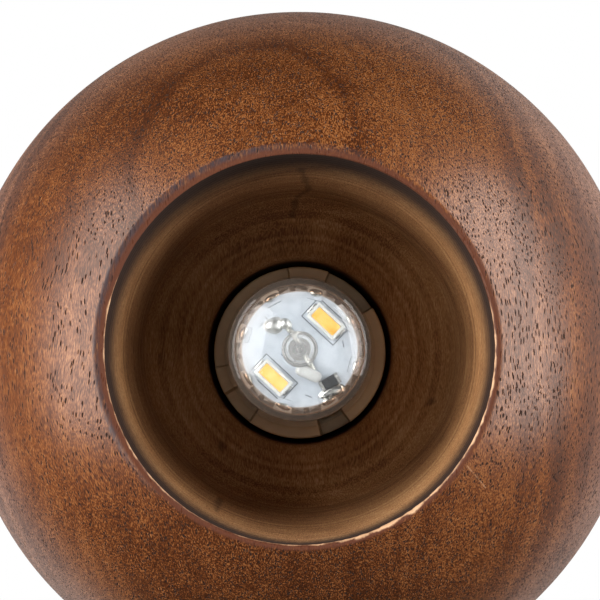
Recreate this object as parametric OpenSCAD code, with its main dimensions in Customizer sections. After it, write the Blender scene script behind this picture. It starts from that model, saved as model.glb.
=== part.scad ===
// Pendant light: a hollow turned wooden ball that hangs from a cord grip and
// holds an E14 lampholder with a clear-covered LED bulb.
// The origin is the mouth of the cord inlet, +Z is up, and the ball's mouth looks down.

/* [Shade] */
// Outside diameter of the turned ball
ball_d = 120; // [100:1:150]
// Diameter of the mouth at its edge
mouth_d = 62; // [58:1:76]
// Width of the bevel that breaks the mouth's sharp edge
mouth_bevel = 0.6; // [0.3:0.1:2]
// Diameter of the hollow's floor
hollow_floor_d = 54; // [48:1:58]
// Size of the sloped corner between the hollow's wall and its floor
hollow_corner = 4; // [2:0.5:6]
// Wood left between the lampholder's bore and the crown
crown_t = 12; // [10:0.5:16]
// Flat turned on the crown for the washer
crown_flat_d = 22; // [20:1:30]

/* [Hanging hardware] */
// Diameter of the cord that the grip takes
cord_d = 7; // [5:0.1:7.4]
// Diameter of the cord grip
grip_d = 18; // [17:0.5:24]
// Height of the cord grip
grip_h = 22; // [20:1:30]
// Distance from the grip's mouth to its clamp screw
grip_screw_z = 6.5; // [4:0.5:9]
// Diameter of the clamp screw
grip_screw_d = 4; // [3:0.5:5]
// Length of the clamp screw
grip_screw_len = 3.2; // [2:0.1:3.6]
// Outside diameter of the hollow threaded nipple
nipple_d = 10; // [9:0.5:11]
// Bore of the nipple
nipple_bore_d = 7.6; // [7:0.1:8]
// Depth of the nipple in the cord grip
nipple_grip_depth = 8; // [6:0.5:10]
// Diameter of the washer on the crown
crown_washer_d = 20; // [18:0.5:21]
// Thickness of the washer on the crown
crown_washer_t = 1.2; // [0.8:0.1:2]
// Diameter of the toothed lock washer
lock_washer_d = 17; // [15:0.5:19]
// Thickness of the toothed lock washer
lock_washer_t = 0.8; // [0.5:0.1:1.2]
// Width of the lock nut across its flats
nut_af = 14; // [13:0.5:16]
// Height of the lock nut
nut_h = 3; // [2.5:0.5:5]

/* [Lampholder] */
// Outside diameter of the lampholder
holder_d = 30.4; // [29:0.1:34]
// Height of the lampholder
holder_h = 43; // [41:0.5:50]
// Room between the lampholder and its bore in the wood, all round
holder_room = 1.05; // [0.5:0.05:2]
// How far the lampholder's front edge stands back from the hollow's floor
holder_sink = 1.3; // [0.5:0.1:6]
// Height of the skirt
skirt_h = 25; // [23:0.5:27]
// Wall of the skirt at its front edge
skirt_front_wall = 2.5; // [1.8:0.1:2.8]
// Wall of the skirt where it screws onto the dome
skirt_back_wall = 1.4; // [1:0.1:1.6]
// Wall of the dome
dome_wall = 1.5; // [1:0.1:2]
// Diameter of the dome's threaded neck
neck_d = 18; // [16:0.5:20]
// Height of the dome's threaded neck
neck_h = 6; // [5:0.5:8]
// Diameter of the screw that locks the dome on the nipple
dome_screw_d = 3; // [2:0.5:3.5]
// Room between the insulating insert and the skirt
insert_room = 1.2; // [0.8:0.1:2]
// Thickness of the insert's flange and of its floor
insert_t = 3; // [2:0.5:3.5]
// Depth of the socket in the insert
socket_depth = 22.3; // [22:0.1:24]
// Width of a terminal block
terminal_w = 4; // [3.5:0.1:4.4]
// Depth of a terminal block
terminal_d = 4.5; // [4:0.1:5]
// Height of a terminal block
terminal_h = 4.6; // [4:0.1:5]
// Distance of each terminal from the axis
terminal_x = 5.4; // [5:0.1:5.6]

/* [Screw thread of the bulb cap] */
// Pitch of the thread
thread_pitch = 2.822; // [2.822]
// Diameter of the cap over its crests
cap_d = 13.89; // [13.7:0.01:13.9]
// Depth of the thread
thread_depth = 0.8; // [0.6:0.05:0.9]
// Play between the cap and the lampholder's shell
thread_play = 0.3; // [0.25:0.05:0.4]
// Length of the lampholder's shell
shell_len = 14; // [12:0.5:15]

/* [Bulb] */
// Length of the bulb in front of the lampholder
bulb_reach = 46.5; // [40:0.5:56]
// Room between the cover's tip and the LEDs on the side boards
cover_room = 0.4; // [0.3:0.05:1]
// Growth of the cover's radius from its tip to the base
cover_flare = 1.2; // [0.4:0.1:2]
// Wall of the cover
cover_t = 1.2; // [0.8:0.1:1.4]
// Radius of the cover's domed end
cover_dome_r = 20; // [18:1:30]
// Diameter of the round board
board_d = 18.5; // [18:0.1:18.6]
// Thickness of every board
board_t = 1; // [0.8:0.1:1.2]
// Distance from the inside of the cover's dome, at the outermost solder, to the round board's face
board_inset = 0.94; // [0.9:0.02:2]
// Number of side boards
side_count = 8; // [6:1:8]
// Turn of the first side board's tab, clockwise from twelve o'clock in the view from below
side_turn = 16; // [0:1:44]
// Gap between the inner edges of neighbouring side boards
side_gap = 0.4; // [0.3:0.1:1.5]
// Width of the tab that locks a side board into the round board
tab_w = 2.4; // [1.6:0.1:3]
// Width of an LED package
led_w = 3; // [2.6:0.1:3]
// Length of an LED package
led_len = 5.7; // [5:0.1:5.8]
// Height of an LED package
led_h = 0.9; // [0.6:0.1:0.9]
// Frame of an LED package round its phosphor
led_frame = 0.4; // [0.3:0.05:0.6]
// Distance of the two LEDs on the round board from its centre
led_ring_r = 6.1; // [5.8:0.1:6.2]
// Diameter of the smoothing capacitor
capacitor_d = 6.3; // [5:0.1:6.3]
// Height of the smoothing capacitor
capacitor_h = 8; // [6:0.5:8]

/* [Hidden] */
$fn = 96;
// Gap between a thread and its mate, or a pin and its hole
fit = 0.05;
// Gap between round pieces that only locate each other
play = 0.1;
// Extra length of every cutting tool
over = 1;

// Heights from the cord inlet down to the lampholder's front edge
ball_r = ball_d / 2;
mouth_r = mouth_d / 2;
crown_z = -grip_h - crown_washer_t;
ball_z = crown_z - sqrt(ball_r * ball_r - crown_flat_d * crown_flat_d / 4);
mouth_z = ball_z - sqrt(ball_r * ball_r - mouth_r * mouth_r);
bore_top_z = crown_z - crown_t;
nut_z = bore_top_z - lock_washer_t - nut_h;
neck_gap = 0.25;
holder_z = nut_z - neck_gap - holder_h;
floor_z = holder_z - holder_sink;

// Lampholder, measured up from its front edge
holder_r = holder_d / 2;
holder_bore_r = holder_r + holder_room;
skirt_front_r = holder_r - skirt_front_wall;
skirt_back_r = holder_r - skirt_back_wall;
collar_r = skirt_back_r - play;
dome_r = collar_r - dome_wall;
collar_h = 5;
collar_z = skirt_h - collar_h;
flange_z = collar_z - insert_t;
insert_r = skirt_front_r - insert_room;
insert_front_z = 3;
socket_z = insert_front_z + socket_depth;
insert_top_z = socket_z + insert_t;
neck_z = holder_h - neck_h;
dome_shoulder_z = neck_z - 5;
terminal_top_z = insert_top_z + terminal_h;
strip_t = 0.5;
rivet_d = 2;
rivet_head_d = 2.8;
rivet_head_h = 0.5;
rivet_len = insert_t + strip_t + 1.5;
terminal_screw_d = 2.6;
terminal_screw_depth = 3;
terminal_head_d = 4;
terminal_head_h = 1.4;
screw_slot_w = 0.8;
screw_slot_d = 0.7;

// Steps of the castellated front edge: start and end clockwise from twelve o'clock
// in the view from below, and how far each is cut back
skirt_steps = [[144, 165, 6], [216, 241, 2.5], [260, 352, 1.2], [20, 58, 6]];

// Hollow nipple
nipple_r = nipple_d / 2;
nipple_top_z = -grip_h + nipple_grip_depth;
nipple_bottom_z = holder_z + neck_z + 1;
nipple_hole_r = nipple_r + 0.3;

// Cord grip, clamp screw and pad
cord_r = cord_d / 2 + play;
grip_r = grip_d / 2;
grip_edge = 1.5;
grip_hole_r = grip_screw_d / 2 + fit;
grip_screw_r = grip_screw_d / 2 - fit;
pad_t = 1.2;
pad_x = cord_r + 0.15;
grip_screw_x = pad_x + pad_t + fit;

// Screw cap of the bulb, measured like the lampholder
cap_r = cap_d / 2;
cap_front_z = 3;
cap_top_z = 19.2;
cap_bore_r = cap_r - thread_depth - 0.35;
shell_front_z = 5;
shell_r = cap_r + thread_play;
shell_outer_r = shell_r + 0.25;
socket_r = shell_outer_r + play;
thread_ramp = 1.4;
thread_sides = 24;
thread_step = thread_pitch / 6;
insulator_z = 22.8;
tip_top_z = 24.3;
tip_ball_r = 3;
tip_gap = 0.03;
contact_gap = 0.12;
insulator_plug = 1.8;
spigot_len = 6;

// Bulb in front of the lampholder
tip_z = -bulb_reach;
base_rim_z = -9;
cover_z = -13;
deck_z = -16;
deck_t = 1.5;
board_r = board_d / 2;
tab_rise = 0.1;
tab_solder_r = 0.7;
tab_solder_inset = 0.3;
tab_edge_r = board_r - tab_solder_inset + tab_solder_r;
dome_rise = cover_dome_r - sqrt(pow(cover_dome_r - cover_t, 2) - tab_edge_r * tab_edge_r);
board_z = tip_z + dome_rise + board_inset;
side_in = board_r - board_t - fit;
side_out = side_in + board_t;
side_w = 2 * side_in * tan(180 / side_count) - side_gap;
side_len = deck_z - (board_z + board_t);
cover_tip_r = norm([side_out + led_h, led_w / 2]) + cover_room + cover_t;
cover_base_r = cover_tip_r + cover_flare;
cover_taper = cover_flare / (cover_z - tip_z);
cover_spigot_r = cover_base_r - cover_t - cover_taper * (cover_z - deck_z) - play;
deck_r = cover_spigot_r - 1.5;
neck_bore_r = 4.5;
flare_steps = 10;
side_led_zs = [deck_z - side_len * 0.28, deck_z - side_len * 0.72];
phosphor_t = 0.25;
lead_hole_r = 2.5;
lead_y = 1.2;
bare_lead_r = 0.5;
sleeve_r = 0.9;
supply_lead_r = 0.4;
supply_lead_x = 2.6;
driver_w = 8.2;
driver_top_z = 8;
rectifier = [4.7, 2.5, 4];
rectifier_rise = 2;
// Solder domes of the bare lead on the round board: place and radius
solder_domes = [[-2.3, -4, 0.75], [-4.15, -3.8, 1]];
// Where the two leads end on the round board, and where its resistor lies
first_dome = [solder_domes[0].x, solder_domes[0].y];
to_hole = [0, -lead_y] - first_dome;
bare_lead_end = first_dome + to_hole * (solder_domes[0].z + play) / norm(to_hole);
sleeve_end = [2.5, 4];
resistor_at = [4.75, 5.15];
resistor_turn = -30;
resistor = [3.2, 1.6, 0.55];
resistor_end_w = 0.5;
led_turn = -47;

// Places children in the lampholder's own frame, which the bulb shares
module at_holder() {
  translate([0, 0, holder_z]) children();
}

// Places children on the face of the round board, built downwards from it
module on_board(at, turn) {
  translate([at.x, at.y, board_z]) rotate([180, 0, -turn]) children();
}

// Places children on each side board's outer face, with their height pointing outwards
module on_sides(x) {
  for (i = [0 : side_count - 1])
    rotate(side_turn - 90 + i * 360 / side_count) translate([x, 0, 0]) children();
}

module tube(r, bore_r, h) {
  difference() {
    cylinder(r = r, h = h);
    translate([0, 0, -over]) cylinder(r = bore_r, h = h + 2 * over);
  }
}

// Screw with a slotted end, standing on its point at the origin
module slotted_pin(d, len) {
  difference() {
    cylinder(d = d, h = len);
    translate([-d, -screw_slot_w / 2, len - screw_slot_d])
      cube([2 * d, screw_slot_w, screw_slot_d + over]);
  }
}

// Share of the full thread at height z: it fades in and out over the ramp at both ends
function thread_share(z, z0, z1) = max(0, min(1, (z - z0) / thread_ramp, (z1 - z) / thread_ramp));

// Height of the thread's wave, from 0 in the root to 1 on the crest of a right-hand helix
function thread_wave(z, a) = (1 + cos(360 * z / thread_pitch - a)) / 2;

// Round sleeve with a rolled thread on one wall and a plain other wall.
// out is true where the thread is outside, and then the sleeve's crests touch radius r.
// Otherwise the thread is inside, and its roots touch radius r.
module threaded_sleeve(r, plain_r, z0, z1, out) {
  rows = ceil((z1 - z0) / thread_step);
  turn = [for (k = [0 : thread_sides - 1]) k * 360 / thread_sides];
  heights = [for (i = [0 : rows]) z0 + i * (z1 - z0) / rows];
  depths = [for (z = heights) thread_depth * thread_share(z, z0, z1)];
  threaded = [for (i = [0 : rows]) for (a = turn)
    let (wave = thread_wave(heights[i], a))
    let (w = out ? r - thread_depth + depths[i] * wave : r - depths[i] * (1 - wave))
    [w * cos(a), w * sin(a), heights[i]]];
  plain = [for (z = [z0, z1]) for (a = turn) [plain_r * cos(a), plain_r * sin(a), z]];
  n = thread_sides;
  base = n * (rows + 1);
  walls = [for (i = [0 : rows - 1]) for (k = [0 : n - 1])
    [i * n + k, i * n + (k + 1) % n, (i + 1) * n + (k + 1) % n, (i + 1) * n + k]];
  rings = [for (k = [0 : n - 1]) let (m = (k + 1) % n) each [
    [base + m, base + k, base + n + k, base + n + m],
    [k, base + k, base + m, m],
    [rows * n + m, base + n + m, base + n + k, rows * n + k]]];
  quads = concat(walls, rings);
  faces = [for (q = quads) each [[q[0], q[1], q[2]], [q[0], q[2], q[3]]]];
  polyhedron(concat(threaded, plain), out ? [for (f = faces) [f[2], f[1], f[0]]] : faces);
}

// Turned ball with a flat crown and one turned hollow: the mouth's bevel, a tapered wall,
// a sloped corner, the floor, the lampholder's bore and the nipple's hole
module wood_shade() {
  low_z = ball_z - ball_r - over;
  floor_r = hollow_floor_d / 2;
  color("#7A4728") difference() {
    translate([0, 0, ball_z]) sphere(r = ball_r);
    translate([-ball_r, -ball_r, crown_z]) cube([ball_d, ball_d, ball_r]);
    rotate_extrude() polygon([
      [0, low_z], [mouth_r + mouth_bevel + mouth_z - low_z, low_z], [mouth_r, mouth_z + mouth_bevel],
      [floor_r, floor_z - hollow_corner], [floor_r - hollow_corner, floor_z],
      [holder_bore_r, floor_z], [holder_bore_r, bore_top_z], [nipple_hole_r, bore_top_z],
      [nipple_hole_r, crown_z + over], [0, crown_z + over]]);
  }
}

module crown_washer() {
  color("#2B2B2C") translate([0, 0, crown_z])
    tube(crown_washer_d / 2, nipple_hole_r, crown_washer_t);
}

module hollow_nipple() {
  color("#B9B4A8") translate([0, 0, nipple_bottom_z])
    tube(nipple_r, nipple_bore_d / 2, nipple_top_z - nipple_bottom_z);
}

// Washer with teeth cut into its outer edge
module lock_washer() {
  teeth = 12;
  notch = 1.6;
  color("#A8A8A6") translate([0, 0, bore_top_z - lock_washer_t]) difference() {
    tube(lock_washer_d / 2, nipple_hole_r, lock_washer_t);
    for (i = [0 : teeth - 1])
      rotate(i * 360 / teeth) translate([lock_washer_d / 2 - notch, -notch / 2, -over])
        cube([notch + over, notch, lock_washer_t + 2 * over]);
  }
}

module lock_nut() {
  color("#B9B4A8") translate([0, 0, nut_z]) difference() {
    cylinder(d = nut_af / cos(30), h = nut_h, $fn = 6);
    translate([0, 0, -over]) cylinder(r = nipple_r + fit, h = nut_h + 2 * over);
  }
}

// Turned grip: cord bore from the top, nipple thread from below, clamp screw from the side
module cord_grip() {
  color("#2B2B2C") difference() {
    rotate_extrude() polygon([[0, -grip_h], [grip_r, -grip_h], [grip_r, -grip_edge],
      [grip_r - grip_edge, 0], [0, 0]]);
    translate([0, 0, -grip_h]) cylinder(r = cord_r, h = grip_h + over);
    translate([0, 0, -grip_h - over])
      cylinder(r = nipple_r + fit, h = nipple_grip_depth + over + 0.5);
    translate([0, 0, -grip_screw_z]) rotate([0, 90, 0]) cylinder(r = grip_hole_r, h = grip_r + over);
  }
}

module grip_pad() {
  color("#D9D6CC") translate([pad_x, 0, -grip_screw_z]) rotate([0, 90, 0])
    cylinder(r = grip_screw_r, h = pad_t);
}

module grip_screw() {
  color("#8F8F8D") translate([grip_screw_x, 0, -grip_screw_z]) rotate([0, 90, 0])
    slotted_pin(2 * grip_screw_r, grip_screw_len);
}

// Dome of the lampholder: a collar that screws into the skirt, a wiring space and a threaded neck
module holder_dome() {
  inner_neck_r = nipple_r + 1;
  color("#E8DCC0") at_holder() difference() {
    rotate_extrude() polygon([
      [dome_r, collar_z], [collar_r, collar_z], [collar_r, skirt_h], [holder_r, skirt_h],
      [holder_r, dome_shoulder_z - 1], [neck_d / 2, neck_z], [neck_d / 2, holder_h],
      [nipple_r + fit, holder_h], [nipple_r + fit, neck_z], [inner_neck_r, neck_z],
      [dome_r, dome_shoulder_z]]);
    translate([0, 0, neck_z + neck_h / 2]) rotate([90, 0, 0])
      cylinder(d = dome_screw_d + 2 * fit, h = neck_d);
  }
}

module dome_lock_screw() {
  color("#8F8F8D") at_holder() translate([0, -nipple_r - play, neck_z + neck_h / 2])
    rotate([90, 0, 0]) slotted_pin(dome_screw_d, neck_d / 2 - nipple_r - play - 0.4);
}

// Insulating insert: a flange clamped between skirt and dome, and the socket for the shell
module holder_insert() {
  color("#EFE9DC") at_holder() difference() {
    union() {
      translate([0, 0, insert_front_z]) cylinder(r = insert_r, h = insert_top_z - insert_front_z);
      translate([0, 0, flange_z]) cylinder(r = collar_r, h = insert_t);
    }
    translate([0, 0, insert_front_z - over]) cylinder(r = socket_r, h = socket_depth + over);
    for (x = [-terminal_x, terminal_x])
      translate([x, 0, socket_z - over]) cylinder(d = rivet_d + 2 * fit, h = insert_t + 2 * over);
  }
}

// Shell that the bulb's cap screws into
module screw_shell() {
  color("#C9A24B") at_holder()
    threaded_sleeve(shell_r, shell_outer_r, shell_front_z, shell_front_z + shell_len, false);
}

// Strip from the shell's back edge to the rivet of the first terminal
module shell_strap() {
  strap_w = 3;
  leg_x = shell_outer_r - strip_t - play;
  foot_x = terminal_x - rivet_head_d / 2;
  leg_z = shell_front_z + shell_len + fit;
  color("#C9A24B") at_holder() difference() {
    union() {
      translate([leg_x, -strap_w / 2, leg_z]) cube([strip_t, strap_w, socket_z - leg_z]);
      translate([foot_x, -strap_w / 2, socket_z - strip_t])
        cube([leg_x + strip_t - foot_x, strap_w, strip_t]);
    }
    translate([terminal_x, 0, socket_z - strip_t - over])
      cylinder(d = rivet_d + 2 * fit, h = strip_t + 2 * over);
  }
}

// Spring tongue over the bulb's contact: a foot under the rivet, a slope and a level end
module centre_contact() {
  tongue_w = 4;
  foot_x = -terminal_x - rivet_head_d / 2;
  bend_x = -terminal_x + rivet_head_d / 2 + 0.2;
  level_x = 2;
  level_z = tip_top_z + contact_gap;
  foot_z = socket_z - strip_t;
  color("#C9A24B") at_holder() difference() {
    translate([0, tongue_w / 2, 0]) rotate([90, 0, 0]) linear_extrude(tongue_w)
      polygon([[foot_x, foot_z], [bend_x, foot_z], [-level_x, level_z], [level_x, level_z],
        [level_x, level_z + strip_t], [-level_x, level_z + strip_t],
        [bend_x, socket_z], [foot_x, socket_z]]);
    translate([-terminal_x, 0, foot_z - over])
      cylinder(d = rivet_d + 2 * fit, h = strip_t + 2 * over);
  }
}

// One rivet through the insert's floor for each terminal
module contact_rivets() {
  color("#B08A3A") at_holder() for (x = [-terminal_x, terminal_x])
    translate([x, 0, socket_z - strip_t]) {
      translate([0, 0, -rivet_head_h]) cylinder(d = rivet_head_d, h = rivet_head_h);
      cylinder(d = rivet_d, h = rivet_len);
    }
}

// Two blocks with a hole across for the wire, one above for the screw, one below for the rivet
module terminal_blocks() {
  wire_d = 1.6;
  color("#C9A24B") at_holder() for (x = [-terminal_x, terminal_x])
    translate([x, 0, insert_top_z]) difference() {
      translate([-terminal_w / 2, -terminal_d / 2, 0]) cube([terminal_w, terminal_d, terminal_h]);
      translate([0, 0, terminal_h - terminal_screw_depth])
        cylinder(d = terminal_screw_d + 2 * fit, h = terminal_screw_depth + over);
      translate([0, 0, -over]) cylinder(d = rivet_d + 2 * fit, h = rivet_len - insert_t + over);
      translate([0, terminal_d / 2 + over, terminal_h - terminal_screw_depth]) rotate([90, 0, 0])
        cylinder(d = wire_d, h = terminal_d + 2 * over);
    }
}

module terminal_screws() {
  shank = terminal_screw_depth - 1;
  color("#B9B4A8") at_holder() for (x = [-terminal_x, terminal_x])
    translate([x, 0, terminal_top_z]) {
      translate([0, 0, -shank]) cylinder(d = terminal_screw_d, h = shank + fit);
      slotted_pin(terminal_head_d, terminal_head_h);
    }
}

// Skirt of the lampholder: it screws onto the dome, clamps the insert on its shoulder
// and ends in a stepped front edge
module holder_skirt() {
  color("#E8DCC0") at_holder() difference() {
    cylinder(r = holder_r, h = skirt_h);
    translate([0, 0, -over]) cylinder(r = skirt_front_r, h = skirt_h + 2 * over);
    translate([0, 0, flange_z]) cylinder(r = skirt_back_r, h = skirt_h);
    for (s = skirt_steps)
      rotate(s[0] - 90) translate([0, 0, -over]) rotate_extrude(angle = s[1] - s[0])
        translate([skirt_front_r - over, 0]) square([skirt_front_wall + 2 * over, s[2] + over]);
  }
}

// Round solder contact on the end of the cap
module cap_tip() {
  color("#BFC3C4") at_holder() intersection() {
    translate([0, 0, tip_top_z - tip_ball_r]) sphere(r = tip_ball_r);
    translate([0, 0, insulator_z + tip_gap]) cylinder(r = tip_ball_r, h = tip_ball_r);
  }
}

// Black insulator that closes the cap and carries the contact
module cap_insulator() {
  plug_z = cap_top_z - insulator_plug;
  color("#1E1B1A") at_holder() rotate_extrude() polygon([
    [0, plug_z], [cap_bore_r - play, plug_z], [cap_bore_r - play, cap_top_z],
    [cap_r - thread_depth, cap_top_z], [tip_ball_r + 0.2, insulator_z], [0, insulator_z]]);
}

module cap_shell() {
  color("#C3C6C8") at_holder() threaded_sleeve(cap_r, cap_bore_r, cap_front_z, cap_top_z, true);
}

// Two wires from the driver board to the cap
module supply_leads() {
  len = cap_top_z - insulator_plug - driver_top_z;
  color("#B33A2B") at_holder() for (x = [-supply_lead_x, supply_lead_x])
    translate([x, 0, driver_top_z]) cylinder(r = supply_lead_r, h = len);
}

module driver_board() {
  color("#2F6B45") at_holder() translate([-driver_w / 2, -board_t / 2, deck_z + deck_t])
    cube([driver_w, board_t, driver_top_z - deck_z - deck_t]);
}

module smoothing_capacitor() {
  color("#26282C") at_holder()
    translate([0, (board_t + capacitor_d) / 2 + fit, deck_z + deck_t + fit])
      cylinder(d = capacitor_d, h = capacitor_h);
}

module bridge_rectifier() {
  color("#1B1B1D") at_holder()
    translate([-rectifier.x / 2, -board_t / 2 - rectifier.y, deck_z + deck_t + rectifier_rise])
      cube(rectifier);
}

// Flared moulded base: a plug in the cap, a neck, a rim under the cover and a spigot inside it
module bulb_base() {
  neck_r = cap_r + 0.45;
  drop = cap_front_z - base_rim_z;
  flare = [for (i = [0 : flare_steps]) let (t = i / flare_steps)
    [neck_r + (cover_base_r - neck_r) * (1 - cos(180 * t)) / 2, cap_front_z - drop * t]];
  color("#EDEDE8") at_holder() rotate_extrude() polygon(concat(
    [[neck_bore_r, cap_front_z + spigot_len], [cap_bore_r - play, cap_front_z + spigot_len],
      [cap_bore_r - play, cap_front_z]],
    flare,
    [[cover_base_r, cover_z], [cover_spigot_r, cover_z], [cover_spigot_r, deck_z],
      [deck_r + play, deck_z], [deck_r + play, deck_z + deck_t], [deck_r - 1, deck_z + deck_t],
      [deck_r - 1, base_rim_z], [neck_bore_r, 0]]));
}

// Deck that closes the base and carries the LED column
module base_deck() {
  color("#EDEDE8") at_holder() translate([0, 0, deck_z]) tube(deck_r, lead_hole_r, deck_t);
}

// Upright boards round the column, each with a tab that passes a notch of the round board
module side_boards() {
  color("#DDE3EA") at_holder() on_sides(side_in) {
    translate([0, -side_w / 2, deck_z - side_len]) cube([board_t, side_w, side_len]);
    translate([0, -tab_w / 2, board_z - tab_rise]) cube([board_t, tab_w, board_t + tab_rise]);
  }
}

// LED package with its window, lying on its back at the origin
module led_package() {
  difference() {
    translate([-led_len / 2, -led_w / 2, 0]) cube([led_len, led_w, led_h]);
    translate([-led_len / 2 + led_frame, -led_w / 2 + led_frame, led_h - phosphor_t])
      cube([led_len - 2 * led_frame, led_w - 2 * led_frame, phosphor_t + over]);
  }
}

// Phosphor that fills the window of an LED package
module led_phosphor() {
  inset = led_frame + fit;
  translate([-led_len / 2 + inset, -led_w / 2 + inset, led_h - phosphor_t])
    cube([led_len - 2 * inset, led_w - 2 * inset, phosphor_t]);
}

module side_led_packages() {
  color("#F3F1E8") at_holder() on_sides(side_out) for (z = side_led_zs)
    translate([0, 0, z]) rotate([0, 90, 0]) led_package();
}

module side_led_phosphors() {
  color("#F0B95A") at_holder() on_sides(side_out) for (z = side_led_zs)
    translate([0, 0, z]) rotate([0, 90, 0]) led_phosphor();
}

// Lead that rises from the deck through the round board and lies down across it to its end
module bent_lead(r, y, end) {
  run = end - [0, y];
  lie_z = board_z - r - fit;
  translate([0, y, lie_z]) {
    cylinder(r = r, h = deck_z + deck_t - fit - lie_z);
    sphere(r = r);
    rotate([0, 90, atan2(run.y, run.x)]) cylinder(r = r, h = norm(run));
  }
}

module column_leads() {
  color("#EDEBE6") at_holder() {
    bent_lead(bare_lead_r, -lead_y, bare_lead_end);
    bent_lead(sleeve_r, lead_y, sleeve_end);
  }
}

// Round board with a hole for the leads and a notch for every side board's tab
module top_board() {
  color("#DDE3EA") at_holder() difference() {
    translate([0, 0, board_z]) tube(board_r, lead_hole_r, board_t);
    on_sides(side_in - fit) translate([0, -tab_w / 2 - fit, board_z - over])
      cube([board_t + over, tab_w + 2 * fit, board_t + 2 * over]);
  }
}

// Half ball of solder that hangs below the origin
module solder_dome(r) {
  difference() {
    sphere(r = r);
    translate([-r, -r, 0]) cube(2 * r);
  }
}

// Solder over each tab, on the edge of the round board
module tab_solder() {
  color("#C9C6BC") at_holder() on_sides(board_r - tab_solder_inset)
    translate([0, 0, board_z - tab_rise]) solder_dome(tab_solder_r);
}

// Two solder domes where the bare lead ends
module lead_solder() {
  color("#C9C6BC") at_holder() for (d = solder_domes)
    translate([d.x, d.y, board_z]) solder_dome(d.z);
}

// Two LEDs opposite each other on the round board, each lying across its radius
module on_led_places() {
  for (side = [0, 180]) {
    a = led_turn + side;
    on_board(led_ring_r * [cos(a), sin(a)], -a - 90) children();
  }
}

module top_led_packages() {
  color("#F3F1E8") at_holder() on_led_places() led_package();
}

module top_led_phosphors() {
  color("#F0B95A") at_holder() on_led_places() led_phosphor();
}

module chip_resistor() {
  body = [resistor.x - 2 * resistor_end_w, resistor.y, resistor.z];
  color("#1B1B1D") at_holder() on_board(resistor_at, -resistor_turn)
    translate([-body.x / 2, -body.y / 2, 0]) cube(body);
}

module resistor_ends() {
  color("#C9C6BC") at_holder() on_board(resistor_at, -resistor_turn)
    for (x = [-resistor.x / 2, resistor.x / 2 - resistor_end_w])
      translate([x, -resistor.y / 2, 0]) cube([resistor_end_w, resistor.y, resistor.z]);
}

// Outline of the cover's tapered body with its domed end, drawn in by t, and by rise taller
module cover_outline(t, rise) {
  intersection() {
    polygon([[0, cover_z + rise], [cover_base_r - t, cover_z + rise], [cover_base_r - t, cover_z],
      [cover_tip_r - t, tip_z], [0, tip_z]]);
    translate([0, tip_z + cover_dome_r]) union() {
      circle(r = cover_dome_r - t);
      translate([-cover_base_r, 0]) square([2 * cover_base_r, bulb_reach]);
    }
  }
}

// Clear cover with a tapered wall and a domed end
module clear_cover() {
  color("#E6ECEF", 0.3) at_holder() rotate_extrude() difference() {
    cover_outline(0, 0);
    cover_outline(cover_t, over);
  }
}

wood_shade();
crown_washer();
hollow_nipple();
lock_washer();
lock_nut();
cord_grip();
grip_pad();
grip_screw();
holder_dome();
dome_lock_screw();
holder_insert();
screw_shell();
shell_strap();
centre_contact();
contact_rivets();
terminal_blocks();
terminal_screws();
holder_skirt();
cap_tip();
cap_insulator();
cap_shell();
supply_leads();
driver_board();
smoothing_capacitor();
bridge_rectifier();
bulb_base();
base_deck();
side_boards();
side_led_packages();
side_led_phosphors();
column_leads();
top_board();
tab_solder();
lead_solder();
top_led_packages();
top_led_phosphors();
chip_resistor();
resistor_ends();
clear_cover();
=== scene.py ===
import math

import bmesh
import bpy
import numpy as np
from mathutils import Matrix, Vector


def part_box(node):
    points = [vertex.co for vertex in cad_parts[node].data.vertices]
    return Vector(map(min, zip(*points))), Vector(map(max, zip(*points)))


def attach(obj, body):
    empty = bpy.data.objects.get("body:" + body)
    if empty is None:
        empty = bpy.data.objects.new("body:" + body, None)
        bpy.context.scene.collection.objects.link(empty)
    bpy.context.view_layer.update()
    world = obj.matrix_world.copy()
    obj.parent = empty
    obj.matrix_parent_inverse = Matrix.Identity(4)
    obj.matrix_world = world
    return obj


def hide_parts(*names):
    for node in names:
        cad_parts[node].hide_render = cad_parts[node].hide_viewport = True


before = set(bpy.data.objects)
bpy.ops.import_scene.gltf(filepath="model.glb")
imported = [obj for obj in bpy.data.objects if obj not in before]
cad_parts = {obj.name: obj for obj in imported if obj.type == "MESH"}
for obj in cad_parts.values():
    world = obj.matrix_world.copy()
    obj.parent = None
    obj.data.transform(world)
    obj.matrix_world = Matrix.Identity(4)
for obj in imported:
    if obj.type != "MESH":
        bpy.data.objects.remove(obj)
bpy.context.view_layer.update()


# Wooden ball
# A block of brown hardwood, turned round, hollowed from below with a gouge and bored for the lampholder.
# Outside it is sanded, stained and sealed with a satin oil. Inside the wood is left raw from the gouge.
MM = 0.001
wood_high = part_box("wood_shade")[1]
ball_r = wood_high.x
crown_z = wood_high.z
crown_flat_r, crown_round = 11 * MM, 0.8 * MM
nipple_hole_r = 5.3 * MM
ball_z = crown_z - math.sqrt(ball_r ** 2 - crown_flat_r ** 2)
mouth_r, mouth_round = 31.2 * MM, 0.6 * MM
mouth_z = ball_z - math.sqrt(ball_r ** 2 - mouth_r ** 2)
holder_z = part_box("holder_skirt")[0].z
floor_z = holder_z - 1.3 * MM
floor_r, floor_round = 27 * MM, 6 * MM
bore_r, bore_round = 16.25 * MM, 1.2 * MM
bore_top_z = crown_z - 12 * MM
shade_columns = 288


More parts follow.
